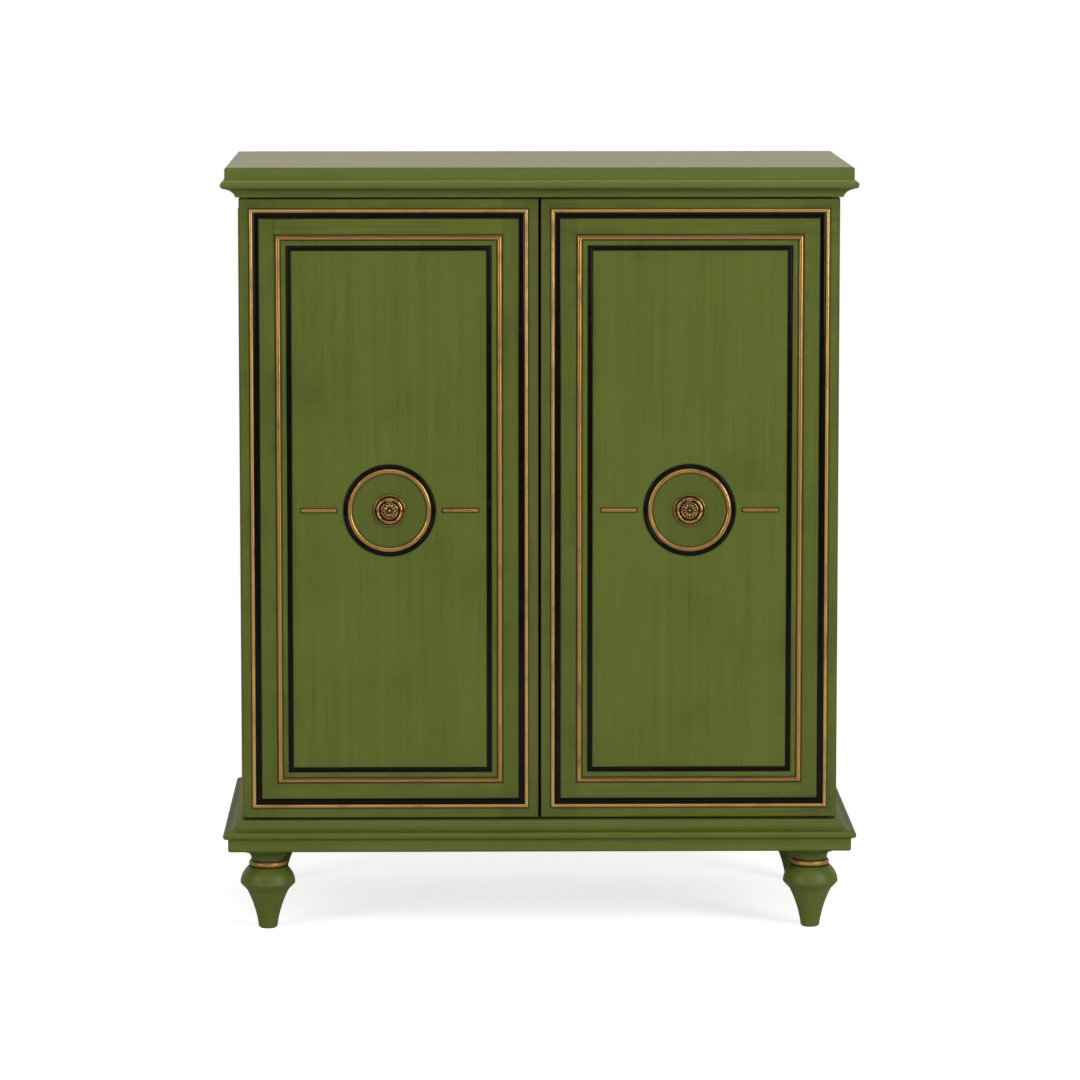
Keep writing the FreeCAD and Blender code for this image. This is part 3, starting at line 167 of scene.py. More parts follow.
colour_setting = setting(bpy.props.FloatVectorProperty, subtype="COLOR", min=0, max=1)
length_setting = setting(bpy.props.FloatProperty, subtype="DISTANCE", unit="LENGTH", min=0)
place_setting = setting(bpy.props.FloatVectorProperty, subtype="XYZ", unit="LENGTH")
amount_setting = setting(bpy.props.FloatProperty, min=0)


class PaintSettings(bpy.types.PropertyGroup):
    """Colours of the paints and finishes, and the glaze that ages them and also lays painted shade
    in creases.
    """

    green: colour_setting(
        "Green", "Brushed paint of the case and the doors", (0.094, 0.122, 0.0105))
    green_light: colour_setting(
        "Light streaks", "Where the brush left the paint thin and bright", (0.122, 0.152, 0.019))
    # Painted highlight: a pale green band along the top of the crown's bead, standing in for the
    # light it catches.
    rubbed: colour_setting(
        "Rubbed edge", "Pale green where the crown's bead is rubbed along its top",
        (0.254, 0.30, 0.082))
    # Dust and painted sheen: the pale tan over the top stands for dust and for the backdrop's
    # reflection on it.
    dusty: colour_setting(
        "Rubbed top", "Dull tan of the top, where the paint is rubbed and dusty",
        (0.22, 0.18, 0.075))
    # The same brown is also laid as painted shade in the creases of the crown, the plinth and the
    # feet.
    glaze: colour_setting(
        "Glaze", "Brown wash that lies in the corners and beside the mouldings",
        (0.022, 0.016, 0.004))
    gold: colour_setting("Gold", "Gilt paint of the mouldings", (0.55, 0.315, 0.080))
    # A lighter copy of the gilt: painted highlight that makes the doors' outer frames read
    # brighter.
    lit_gold_outer: colour_setting(
        "Bright gold", "Cleaner gilt paint of the doors' outer frames", (0.70, 0.43, 0.128))
    gold_dark: colour_setting(
        "Worn gold", "Where the gilt paint is thin or glazed over", (0.075, 0.032, 0.006))
    black: colour_setting("Black", "Satin paint of the black mouldings", (0.0045, 0.0042, 0.0032))
    brass: colour_setting("Brass", "Rubbed places of the aged brass", (0.57, 0.33, 0.11))
    brass_dark: colour_setting("Brass patina", "Hollows of the aged brass", (0.010, 0.005, 0.0015))
    wood_light: colour_setting(
        "Light grain", "Light grain of the stained inside", (0.19, 0.093, 0.037))
    wood_dark: colour_setting(
        "Dark grain", "Dark grain of the stained inside", (0.066, 0.028, 0.010))
    glaze_reach: length_setting(
        "Glaze reach", "How far the dark line beside a moulding fades out", 1.9 * MM)


class PullSettings(bpy.types.PropertyGroup):
    """Sizes of the rosette in the middle of a pull."""

    petals: bpy.props.IntProperty(
        name="Petals", description="Number of petals around the button", default=12, min=3)
    petal_radius: length_setting(
        "Petal circle", "Radius of the circle on which the petals lie", 5.6 * MM)
    petal_length: length_setting("Petal length", "Length of a petal", 5.6 * MM)
    petal_width: length_setting("Petal width", "Width of a petal at its outer end", 3.8 * MM)
    petal_height: length_setting(
        "Petal height", "Height of a petal above the face of the rosette", 1.45 * MM)
    bead_radius: length_setting(
        "Bead", "Radius of the small beads between the petals' tips", 0.5 * MM)
    face_height: length_setting(
        "Rosette face", "Height of the rosette's face above the door", 3.4 * MM)


class ScrewSettings(bpy.types.PropertyGroup):
    """Sizes of the cross-slot screws that hold the back panel."""

    rows: bpy.props.IntProperty(
        name="Rows", description="Number of screws along each edge of the back panel",
        default=5, min=2)
    head_radius: length_setting("Head radius", "Radius of a screw's head", 3.2 * MM)
    head_height: length_setting("Head height", "Height of a screw's head", 1.7 * MM)
    slot_length: length_setting(
        "Slot length", "Length of each arm of the cross slot, from end to end", 3.6 * MM)
    slot_width: length_setting("Slot width", "Width of each arm of the cross slot", 0.8 * MM)


class StageSettings(bpy.types.PropertyGroup):
    """The camera, the backdrop and the floor."""

    camera_place: place_setting("Camera", "Where the camera stands", (-0.0966, -6.4, 1.2511))
    camera_aim: place_setting(
        "Aim", "The point in the middle of the picture", (0.0032, 0.0, 0.4546))
    lens: bpy.props.FloatProperty(
        name="Focal length", description="Focal length in millimetres on a 36 mm sensor",
        default=174.4, min=1)
    floor_colour: colour_setting("Floor", "Colour of the pale floor", (0.74, 0.74, 0.73))
    floor_lift: amount_setting(
        "Floor lift", "Glow of the floor that brings it to white for the camera", 0.74)
    backdrop: colour_setting(
        "Backdrop", "Warm white of the backdrop, as glossy paint sees it", (1.0, 0.95, 0.84))
    fill: amount_setting("Fill", "Even light from all around", 0.28)
    room: amount_setting(
        "Room", "Brightness of the dim room in front, as glossy paint sees it", 0.06)


# The two inputs and the output of a Mix node, for each kind of thing it mixes.
MIX_SOCKETS = {"FLOAT": (2, 3, 0), "VECTOR": (4, 5, 1), "RGBA": (6, 7, 2)}


class Graph:
    """Adds nodes to one tree and joins them, so that a finish reads as a list of steps."""

    def __init__(self, tree):
        self.tree = tree

    def feed(self, socket, value):
        """Link a socket, or set it to a plain value."""
        if isinstance(value, bpy.types.NodeSocket):
            self.tree.links.new(value, socket)
        elif socket.type == "RGBA":
            socket.default_value = (*value, 1.0)[:4]
        else:
            socket.default_value = value

    def fill(self, node, inputs):
        """Feed several inputs of a node, by name or by number."""
        for key, value in dict(inputs).items():
            self.feed(node.inputs[key], value)

    def node(self, kind, inputs=(), **settings):
        """A node with its settings made and its inputs fed."""
        made = self.tree.nodes.new(kind)
        for key, value in settings.items():
            setattr(made, key, value)
        self.fill(made, inputs)
        return made

    def result(self, kind, inputs=(), **settings):
        """The first output of a new node."""
        return self.node(kind, inputs, **settings).outputs[0]

    def maths(self, operation, *values, clamp=False):
        """One sum on plain values or sockets."""
        inputs = enumerate(values)
        return self.result("ShaderNodeMath", inputs, operation=operation, use_clamp=clamp)

    def minus(self, one, other):
        """One value less another."""
        return self.maths("SUBTRACT", one, other)

    def times(self, first, *others):
        """The product of several values."""
        for other in others:
            first = self.maths("MULTIPLY", first, other)
        return first

    def size(self, value):
        """A value without its sign."""
        return self.maths("ABSOLUTE", value)

    def apart(self, one, other):
        """How far apart two values are."""
        return self.size(self.minus(one, other))

    def radius(self, across, up):
        """How far a place is from the middle."""
        square = self.times(across, across)
        return self.maths("SQRT", self.maths("MULTIPLY_ADD", up, up, square))

    def total(self, first, *others):
        """The sum of several values, held between 0 and 1."""
        for other in others:
            first = self.maths("ADD", first, other, clamp=True)
        return first

    def highest(self, first, *others):
        """The highest of several values."""
        for other in others:
            first = self.maths("MAXIMUM", first, other)
        return first

    def fade(self, value, low, high, start=0.0, end=1.0):
        """A smooth change from start to end while a value goes from low to high."""
        inputs = {"Value": value, "From Min": low, "From Max": high, "To Min": start, "To Max": end}
        return self.result(
            "ShaderNodeMapRange", inputs, interpolation_type="SMOOTHSTEP", clamp=True)

    def blend(self, share, one, other, kind="RGBA"):
        """One colour going over to another, or one vector or value."""
        first, second, result = MIX_SOCKETS[kind]
        inputs = {0: share, first: one, second: other}
        made = self.node("ShaderNodeMix", inputs, data_type=kind, clamp_factor=True)
        return made.outputs[result]

    def stretch(self, vector, scale):
        """Coordinates scaled along each axis."""
        return self.result("ShaderNodeVectorMath", {0: vector, 1: scale}, operation="MULTIPLY")

    def noise(self, vector, scale, detail=3.0, roughness=0.55):
        """Noise in space, from 0 to 1."""
        inputs = {"Vector": vector, "Scale": scale, "Detail": detail, "Roughness": roughness}
        return self.node("ShaderNodeTexNoise", inputs, normalize=True).outputs["Fac"]

    def split(self, vector):
        """The three parts of a vector."""
        return self.node("ShaderNodeSeparateXYZ", {0: vector}).outputs

    def join(self, parts):
        """A vector from its parts, by number; a part that is left out is 0."""
        return self.result("ShaderNodeCombineXYZ", parts)

    def group(self, tree, inputs):
        """A shared effect, placed with its own values."""
        return self.node("ShaderNodeGroup", inputs, node_tree=tree).outputs


def empty_tree(name, inputs, outputs, kind="ShaderNodeTree"):
    """A node tree with its sockets by kind; returns its graph, its inputs and its output node."""
    tree = bpy.data.node_groups.new(name, kind)
    for way, sockets in (("INPUT", inputs), ("OUTPUT", outputs)):
        for held, labels in sockets.items():
            for label in labels:
                tree.interface.new_socket(label, in_out=way, socket_type=f"NodeSocket{held}")
    graph = Graph(tree)
    return graph, graph.node("NodeGroupInput").outputs, graph.node("NodeGroupOutput")


@functools.cache
def brush_streaks():
    """Fine streaks, faint blotches and short dashes that a brush leaves in paint."""
    graph, given, out = empty_tree(
        "Brush streaks", {"Vector": ["Vector", "Stretch"]},
        {"Float": ["Streaks", "Blotches", "Flecks"]})
    stretched = graph.stretch(given["Vector"], given["Stretch"])
    fine = graph.noise(stretched, 1.0, detail=4.0, roughness=0.6)
    broad = graph.noise(stretched, 0.22, detail=2.0)
    blotches = graph.noise(given["Vector"], 7.0, detail=4.0)
    dashes = graph.fade(graph.noise(stretched, 1.9, detail=2.0, roughness=0.5), 0.66, 0.78)
    graph.fill(out, {
        "Streaks": graph.maths("ADD", graph.times(fine, 0.6), graph.times(broad, 0.4)),
        "Blotches": blotches,
        "Flecks": graph.times(dashes, graph.fade(blotches, 0.40, 0.62))})
    return graph.tree


@functools.cache
def aged_paint():
    """Green paint: thin bright streaks, faint blotches, and brown glaze and painted shade where the
    mask says.
    """
    graph, given, out = empty_tree(
        "Aged paint",
        {"Float": ["Streaks", "Blotches", "Flecks", "Glaze Mask"],
         "Color": ["Paint", "Light", "Glaze"]},
        {"Color": ["Color"], "Float": ["Roughness", "Height"]})
    streaks, blotches = given["Streaks"], given["Blotches"]
    light = graph.fade(streaks, 0.40, 0.66, end=0.55)
    colour = graph.blend(light, given["Paint"], given["Light"])
    thin = graph.fade(blotches, 0.45, 0.72, end=0.30)
    colour = graph.blend(thin, colour, given["Light"])
    dark_streak = graph.fade(streaks, 0.43, 0.30, end=0.26)
    dark_cloud = graph.fade(blotches, 0.47, 0.28, end=0.16)
    fleck = graph.times(given["Flecks"], 0.34)
    # Darkening: glaze and painted shade from the mask, with random dark streaks, clouds and flecks.
    aged = graph.total(given["Glaze Mask"], dark_streak, dark_cloud, fleck)
    graph.fill(out, {
        "Color": graph.blend(aged, colour, given["Glaze"]),
        "Roughness": graph.fade(streaks, 0.3, 0.7, start=0.42, end=0.52),
        "Height": graph.minus(streaks, graph.times(aged, 0.3))})
    return graph.tree


@functools.cache
def beside_frame():
    """A mask that is 1 beside the edges of a mitred frame and fades away from it."""
    graph, given, out = empty_tree(
        "Beside a frame",
        {"Float": ["Across", "Up", "Half Width", "Half Height", "Strip", "Reach"]},
        {"Float": ["Mask"]})
    side = graph.minus(graph.size(given["Across"]), given["Half Width"])
    level = graph.minus(graph.size(given["Up"]), given["Half Height"])
    half = graph.times(given["Strip"], 0.5)
    outside = graph.maths("ADD", graph.highest(side, level), half)
    away = graph.minus(graph.size(outside), half)
    graph.fill(out, {"Mask": graph.fade(away, given["Reach"], 0.0)})
    return graph.tree


@functools.cache
def wood_grain():
    """Long grain of stained wood, from dark to light, with its height."""
    graph, given, out = empty_tree(
        "Wood grain", {"Vector": ["Vector", "Stretch"], "Color": ["Light", "Dark"]},
        {"Color": ["Color"], "Float": ["Height"]})
    stretched = graph.stretch(given["Vector"], given["Stretch"])
    cloud = graph.noise(stretched, 0.35)
    fibre = graph.noise(stretched, 4.5, detail=4.0, roughness=0.65)
    rings = graph.maths("SINE", graph.times(cloud, 62.0))
    grain = graph.maths("ADD", graph.times(fibre, 0.7), graph.times(rings, 0.07))
    light = graph.fade(grain, 0.14, 0.58)
    graph.fill(out, {"Color": graph.blend(light, given["Dark"], given["Light"]), "Height": grain})
    return graph.tree


@functools.cache
def worn_metal():
    """Rubbed metal or gilt: bright on its heights, dark in its hollows and where a painted shade is
    given, and in fine scratches.
    """
    graph, given, out = empty_tree(
        "Worn metal",
        {"Vector": ["Vector", "Stretch"], "Float": ["Hollow"], "Color": ["Bright", "Dark"]},
        {"Color": ["Color"], "Float": ["Roughness", "Height", "Wear"]})
    stretched = graph.stretch(given["Vector"], given["Stretch"])
    fine = graph.noise(stretched, 1.0, detail=2.0, roughness=0.5)
    cloud = graph.noise(given["Vector"], 24.0)
    streak = graph.fade(fine, 0.48, 0.28, end=0.30)
    patch = graph.fade(cloud, 0.53, 0.30, end=0.55)
    wear = graph.total(graph.highest(given["Hollow"], patch), streak)
    graph.fill(out, {
        "Color": graph.blend(wear, given["Bright"], given["Dark"]),
        "Roughness": graph.fade(wear, 0.0, 1.0, start=0.28, end=0.58),
        "Height": fine,
        "Wear": wear})
    return graph.tree


def new_material(name, **plain):
    """A material with one Principled shader; returns it, its graph, shader and coordinates."""
    material = bpy.data.materials.new(name)
    material.use_nodes = True
    graph = Graph(material.node_tree)
    shader = material.node_tree.nodes["Principled BSDF"]
    graph.fill(shader, {label.replace("_", " "): value for label, value in plain.items()})
    where = graph.node("ShaderNodeTexCoord").outputs["Object"]
    return material, graph, shader, where


def roughen(graph, shader, height, strength, distance):
    """Turn a height into a bump on a shader."""
    inputs = {"Height": height, "Strength": strength, "Distance": distance}
    graph.feed(shader.inputs["Normal"], graph.result("ShaderNodeBump", inputs))


def paint_over(graph, shader, mask, colour):
    """Lay a colour over what a shader has, where the mask is 1."""
    base = shader.inputs["Base Color"]
    graph.feed(base, graph.blend(mask, base.links[0].from_socket, colour))


def face_places(graph, where, panel):
    """Places on a panel's face: across and up from its middle, and out from its face."""
    x, y, z = graph.split(where)
    if panel.across_axis == 0:
        across, out = graph.size(x), graph.minus(panel.face, y)
    else:
        across, out = y, graph.minus(graph.size(x), -panel.face)
    return graph.minus(across, panel.across_middle), graph.minus(z, panel.up_middle), out


def crease_shade_and_glaze(graph, where, creases, reach):
    """Painted shade with some glaze: dark lines along level creases, each given by its height and
    its strength.
    """
    height = graph.split(where)[2]
    return graph.highest(*(graph.fade(graph.apart(height, level), reach, 0.0, end=strength)
                           for level, strength in creases))


def strip_glaze(graph, panel, across, up, reach):
    """The dark lines beside a panel's four frames."""
    masks = []
    for name, width, strength in STRIPS:
        half_across, half_up = outer_half(f"left_door_{name}_frame")
        half_across += panel.half_across - DOOR.half_across
        inputs = {"Across": across, "Up": up, "Half Width": half_across, "Half Height": half_up,
                  "Strip": width, "Reach": reach}
        masks.append(graph.times(graph.group(beside_frame(), inputs)["Mask"], strength))
    return graph.highest(*masks)


def ring_glaze(graph, across, up, reach):
    """The dark lines beside a door's two rings and its bars, and the shade inside the rings."""
    radius = graph.radius(across, up)
    masks = [graph.fade(radius, GOLD_RING_MIDDLE + reach, GOLD_RING_MIDDLE - reach, end=0.17)]
    for middle, width in ((GOLD_RING_MIDDLE, GOLD_RING_WIDTH),
                          (BLACK_RING_MIDDLE, BLACK_RING_WIDTH)):
        away = graph.minus(graph.apart(radius, middle), width / 2)
        masks.append(graph.fade(away, reach, 0.0, end=0.6))
    along = graph.apart(graph.size(across), BAR_MIDDLE)
    away = graph.highest(graph.minus(along, BAR_LENGTH / 2),
                         graph.minus(graph.size(up), BAR_WIDTH / 2))
    masks.append(graph.fade(away, reach, 0.0, end=0.85))
    return graph.highest(*masks)


def paint_shader(name, paint, strokes, glaze_and_shade_mask=None, gloss=0.36, tint=WHITE):
    """Green brushed paint.

    glaze_and_shade_mask is a function of the graph and the coordinates; strokes is one too, or a vector.
    """
    material, graph, shader, where = new_material(
        name, Specular_IOR_Level=gloss, Specular_Tint=tint)
    stretch = strokes(graph, where) if callable(strokes) else strokes
    brushed = graph.group(brush_streaks(), {"Vector": where, "Stretch": stretch})
    inputs = {label: brushed[label] for label in ("Streaks", "Blotches", "Flecks")}
    inputs["Glaze Mask"] = glaze_and_shade_mask(graph, where) if glaze_and_shade_mask else 0.0
    inputs.update({"Paint": paint.green, "Light": paint.green_light, "Glaze": paint.glaze})
    aged = graph.group(aged_paint(), inputs)
    graph.fill(shader, {"Base Color": aged["Color"], "Roughness": aged["Roughness"]})
    roughen(graph, shader, aged["Height"], strength=0.10, distance=0.4 * MM)
    return material, graph, shader, where


def stained_wood(graph, where, paint, stretch):
    """Stained wood whose grain runs as stretch says."""
    inputs = {"Vector": where, "Stretch": stretch,
              "Light": paint.wood_light, "Dark": paint.wood_dark}
    return graph.group(wood_grain(), inputs)


def rubbed_metal(graph, where, stretch, hollow, bright, dark):
    """Metal or gilt that is dark in its hollows, rubbed as stretch says."""
    inputs = {"Vector": where, "Stretch": stretch, "Hollow": hollow, "Bright": bright, "Dark": dark}
    return graph.group(worn_metal(), inputs)


def dress(nodes, material):
    """Give CAD nodes a material."""
    for name in nodes:
        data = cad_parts[name].data
        data.materials.clear()
        data.materials.append(material)


def both(*names):
    """The left-hand and right-hand nodes of each name."""
    return [f"{side}_{name}" for name in names for side in ("left", "right")]


class CABINET_OT_case(bpy.types.Operator):
    """Paint the top, the crown, the plinth and the boards of the case"""

    bl_idname = "cabinet.case"
    bl_label = "Paint the case"

    def execute(self, context):
        paint = context.scene.cabinet_paint
        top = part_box("top_board")[1].z
        crown_low, crown_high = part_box("crown_front")
        plinth_low, plinth_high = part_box("plinth_front")
        ledges = (crown_low.z, crown_low.z + CROWN_COVE_HEIGHT, plinth_low.z + PLINTH_BEAD_LOW,
                  plinth_low.z + PLINTH_BEAD_HIGH, plinth_high.z)

        # Painted shade with some glaze: dark lines along the crown's and the plinth's creases, and
        # a broad painted shade in the plinth's cove.
        def creases(graph, where):
            lines = crease_shade_and_glaze(graph, where, [(level, 0.34) for level in ledges], reach=1.7 * MM)
            away = graph.apart(graph.split(where)[2], plinth_low.z + PLINTH_COVE_MIDDLE)
            return graph.highest(lines, graph.fade(away, 5.0 * MM, 2.0 * MM, end=0.13))

        # Painted highlight: a pale green band along the top of the crown's bead.
        def paint_bead_highlight(material, graph, shader, where):
            height = graph.split(where)[2]
            wear_and_highlight = graph.fade(height, crown_high.z - CROWN_HIGHLIGHT_DEPTH, crown_high.z, end=0.9)
            paint_over(graph, shader, wear_and_highlight, paint.rubbed)
            return material

        dress(["crown_front"], paint_bead_highlight(
            *paint_shader("green_crown", paint, ACROSS_STROKES, creases, gloss=0.55)))
        dress(["plinth_front"],
              paint_shader("green_plinth", paint, ACROSS_STROKES, creases, gloss=0.38)[0])
        dress(["crown_left", "crown_right", "plinth_left", "plinth_right"], paint_bead_highlight(
            *paint_shader("green_side_rails", paint, DEPTH_STROKES, creases, gloss=0.08,
                          tint=(1.0, 0.92, 0.72))))

        board, graph, shader, where = paint_shader("green_top", paint, ACROSS_STROKES, gloss=0.42)
        brushed = shader.inputs["Roughness"].links[0].from_socket
        graph.fill(shader, {
            "Roughness": graph.maths("ADD", brushed, 0.20),
            "Sheen Weight": 0.37, "Sheen Roughness": 0.30, "Sheen Tint": (1.0, 0.93, 0.79)})
        # Dust and painted sheen: the top face is lightened to pale tan in clouds, standing for dust
        # and for the backdrop's reflection.
        above = graph.fade(graph.split(where)[2], top - 0.8 * MM, top - 0.1 * MM)
        cloud = graph.noise(graph.stretch(where, (2.0, 9.0, 9.0)), 1.6, detail=4.0)
        dusty = graph.times(above, graph.fade(cloud, 0.30, 0.70, start=0.12, end=0.48))
        paint_over(graph, shader, dusty, paint.dusty)
        dress(["top_board"], board)

        boards, graph, shader, where = paint_shader("green_boards", paint, ACROSS_STROKES)
        low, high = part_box("left_side_panel")
        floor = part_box("case_bottom")[1].z
        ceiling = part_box("case_top")[0].z
        parts = graph.split(where)
        inside = graph.times(
            graph.fade(graph.size(parts[0]), -high.x + SOFT_EDGE, -high.x - SOFT_EDGE),
            graph.fade(parts[1], low.y - 2 * SOFT_EDGE, low.y + SOFT_EDGE),
            graph.fade(parts[2], floor - 2 * SOFT_EDGE, floor - SOFT_EDGE),
            graph.fade(parts[2], ceiling + 2 * SOFT_EDGE, ceiling + SOFT_EDGE))
        paint_over(graph, shader, inside, stained_wood(graph, where, paint, ACROSS_GRAIN)["Color"])
        dress(["case_bottom", "case_top"], boards)
        return {"FINISHED"}


class CABINET_OT_sides(bpy.types.Operator):
    """Paint the outside of the side panels and stain their inside"""

    bl_idname = "cabinet.sides"
    bl_label = "Paint the sides"

    def execute(self, context):
        paint = context.scene.cabinet_paint

        def glaze(graph, where):
            across, up, _ = face_places(graph, where, SIDE)
            return strip_glaze(graph, SIDE, across, up, paint.glaze_reach)

        material, graph, shader, where = paint_shader("green_sides", paint, UPRIGHT_STROKES, glaze)
        inner = -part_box("left_side_panel")[1].x
        out = graph.size(graph.split(where)[0])
        inside = graph.fade(out, inner + 3 * SOFT_EDGE, inner + SOFT_EDGE)
        paint_over(graph, shader, inside, stained_wood(graph, where, paint, UPRIGHT_GRAIN)["Color"])
        dress(both("side_panel"), material)
        return {"FINISHED"}


class CABINET_OT_doors(bpy.types.Operator):
    """Paint the doors, with upright brush strokes on panels and stiles and level ones on rails"""

    bl_idname = "cabinet.doors"
    bl_label = "Paint the doors"

    def execute(self, context):
        paint = context.scene.cabinet_paint
        rail_across, rail_up = outer_half("left_door_inner_gold_frame")

        def strokes(graph, where):
            across, up, _ = face_places(graph, where, DOOR)
            in_rail = graph.fade(graph.size(up), rail_up - SOFT_EDGE, rail_up + SOFT_EDGE)
            between = graph.fade(
                graph.size(across), rail_across + SOFT_EDGE, rail_across - SOFT_EDGE)
            rail = graph.times(in_rail, between)
            return graph.blend(rail, UPRIGHT_STROKES, ACROSS_STROKES, "VECTOR")

        def glaze(graph, where):
            across, up, out = face_places(graph, where, DOOR)
            lines = strip_glaze(graph, DOOR, across, up, paint.glaze_reach)
            rings = ring_glaze(graph, across, up, paint.glaze_reach)
            edge = graph.maths("MINIMUM", graph.minus(DOOR.half_across, graph.size(across)),
                               graph.minus(DOOR.half_up, graph.size(up)))
            rim = graph.fade(edge, 3.0 * MM, 0.0, end=0.30)
            wash = strip_glaze(graph, DOOR, across, up, reach=16.0 * MM)
            cloud = graph.fade(graph.noise(where, 26.0), 0.42, 0.66)
            wash = graph.times(wash, cloud, 0.24)
            patch = graph.noise(where, 4.3, detail=4.0, roughness=0.6)
            patch = graph.fade(patch, 0.56, 0.76, end=0.14)
            level = graph.noise(graph.stretch(where, (5.0, 5.0, 260.0)), 1.0)
            in_rail = graph.fade(graph.size(up), rail_up - 1.0 * MM, rail_up)
            level = graph.times(in_rail, graph.fade(level, 0.50, 0.72, end=0.20))
            outer = graph.fade(across, rail_across - 1.0 * MM, rail_across, end=0.07)
            meeting = graph.fade(across, 1.0 * MM - rail_across, -rail_across, end=0.15)
            front = graph.fade(out, -1.2 * MM, -0.4 * MM)
            marks = graph.total(graph.highest(lines, rings, wash), outer, meeting, level)
            return graph.total(rim, patch, graph.times(front, marks))

        dress(both("door"), paint_shader("green_doors", paint, strokes, glaze)[0])
        return {"FINISHED"}


def gilding(name, paint, gold, panel, crest, ring=False, glazed=None):
    """Gilt paint on half-round strips: rubbed above the crest, dark where they meet the panel.

    glazed is how far above and below the middle the level strips lie whose top half gets painted
    shade.
    """
    material, graph, shader, where = new_material(name, Specular_IOR_Level=0.5)
    across, up, out = face_places(graph, where, panel)
    hollow = graph.fade(out, crest, crest - 1.0 * MM, end=0.95)
    if ring:
        stretch = RING_RUB
    else:
        side = graph.minus(graph.size(across), panel.half_across)
        level = graph.minus(graph.size(up), panel.half_up)
        lead = graph.minus(side, level)
        upright = graph.maths("GREATER_THAN", lead, 0.0)
        mitre = graph.fade(graph.size(lead), 0.6 * MM, 0.1 * MM, end=0.5)
        hollow = graph.highest(hollow, mitre)
        # Painted shade: the top half of each level strip is darkened.
        if glazed:
            strip = graph.times(graph.maths("SIGN", up), glazed)
            top_half_shade = graph.fade(graph.minus(up, strip), 0.0, 1.3 * MM, end=0.85)
            hollow = graph.highest(hollow, graph.times(graph.minus(1.0, upright), top_half_shade))
        lying_rub = SIDE_RUB if panel.across_axis else ACROSS_RUB
        stretch = graph.blend(upright, lying_rub, UPRIGHT_RUB, "VECTOR")
    worn = rubbed_metal(graph, where, stretch, hollow, gold, paint.gold_dark)
    graph.fill(shader, {
        "Base Color": worn["Color"], "Roughness": worn["Roughness"],
        "Metallic": graph.fade(worn["Wear"], 0.0, 1.0, start=0.80, end=0.1)})
    roughen(graph, shader, worn["Height"], strength=0.05, distance=0.1 * MM)
    return material


def blacking(name, paint):
    """Satin black paint, rubbed faintly brown in places."""
    material, graph, shader, where = new_material(name, Specular_IOR_Level=0.10)
    wear_and_highlight = graph.fade(graph.noise(where, 120.0, detail=4.0), 0.56, 0.74, end=0.5)
    graph.fill(shader, {
        "Base Color": graph.blend(wear_and_highlight, paint.black, (0.014, 0.012, 0.008)),
        "Roughness": graph.fade(wear_and_highlight, 0.0, 0.5, start=0.10, end=0.24)})
    roughen(graph, shader, graph.noise(where, 420.0), strength=0.05, distance=0.1 * MM)
    return material


class CABINET_OT_mouldings(bpy.types.Operator):
    """Gild and blacken the applied mouldings of the doors and the sides"""

    bl_idname = "cabinet.mouldings"
    bl_label = "Finish the mouldings"

    def execute(self, context):
        paint = context.scene.cabinet_paint
        inner = outer_half("left_door_inner_gold_frame")[1] - INNER_GOLD_WIDTH / 2
        # The outer frames take the lighter gilt, a painted highlight.
        dress(both("door_outer_gold_frame"),
              gilding("gilt_outer_frames", paint, paint.lit_gold_outer, DOOR, crest=1.75 * MM))
        dress(both("door_inner_gold_frame"),
              gilding("gilt_inner_frames", paint, paint.gold, DOOR, crest=2.3 * MM, glazed=inner))
        dress(both("door_gold_ring_and_bars"),
              gilding("gilt_door_rings", paint, paint.gold, DOOR, crest=2.2 * MM, ring=True))
        dress(both("side_gold_frames"),
              gilding("gilt_side_frames", paint, paint.gold, SIDE, crest=0.9 * MM))
        dress(both("door_outer_black_frame", "door_inner_black_frame", "door_black_ring",
                   "side_black_frames"), blacking("black_mouldings", paint))
        return {"FINISHED"}


class CABINET_OT_feet(bpy.types.Operator):
    """Paint the turned feet and gild the ring around each neck"""

    bl_idname = "cabinet.feet"
    bl_label = "Paint the feet"

    def execute(self, context):
        paint = context.scene.cabinet_paint
        # Painted shade with some glaze: dark lines under the bulb, at both edges of the gilt ring
        # and at the top of the flare.
        creases = ((FOOT_BULB_CREASE, 0.22), (FOOT_RING_LOW, 0.85), (FOOT_RING_HIGH, 0.85),
                   (FOOT_FLARE_TOP, 0.45))

        def glaze(graph, where):
            return crease_shade_and_glaze(graph, where, creases, reach=1.5 * MM)

        material, graph, shader, where = paint_shader("green_feet", paint, TURNED_STROKES, glaze)
        height = graph.split(where)[2]
        over = graph.fade(height, FOOT_RING_LOW - 0.1 * MM, FOOT_RING_LOW + 0.2 * MM)
        under = graph.fade(height, FOOT_RING_HIGH + 0.1 * MM, FOOT_RING_HIGH - 0.2 * MM)
        ring = graph.times(over, under)
        # Painted shade: the gilt ring darkens towards its upper and lower edges.
        away = graph.apart(height, (FOOT_RING_LOW + FOOT_RING_HIGH) / 2)
        hollow = graph.fade(away, 2.0 * MM, 3.4 * MM, end=0.9)
        gilt = rubbed_metal(graph, where, TURNED_RUB, hollow, paint.gold, paint.gold_dark)
        paint_over(graph, shader, ring, gilt["Color"])
        graph.feed(shader.inputs["Metallic"], graph.times(ring, 0.55))
        dress([f"foot_{row}_{side}" for row in ("front", "back") for side in ("left", "right")],
              material)
        return {"FINISHED"}


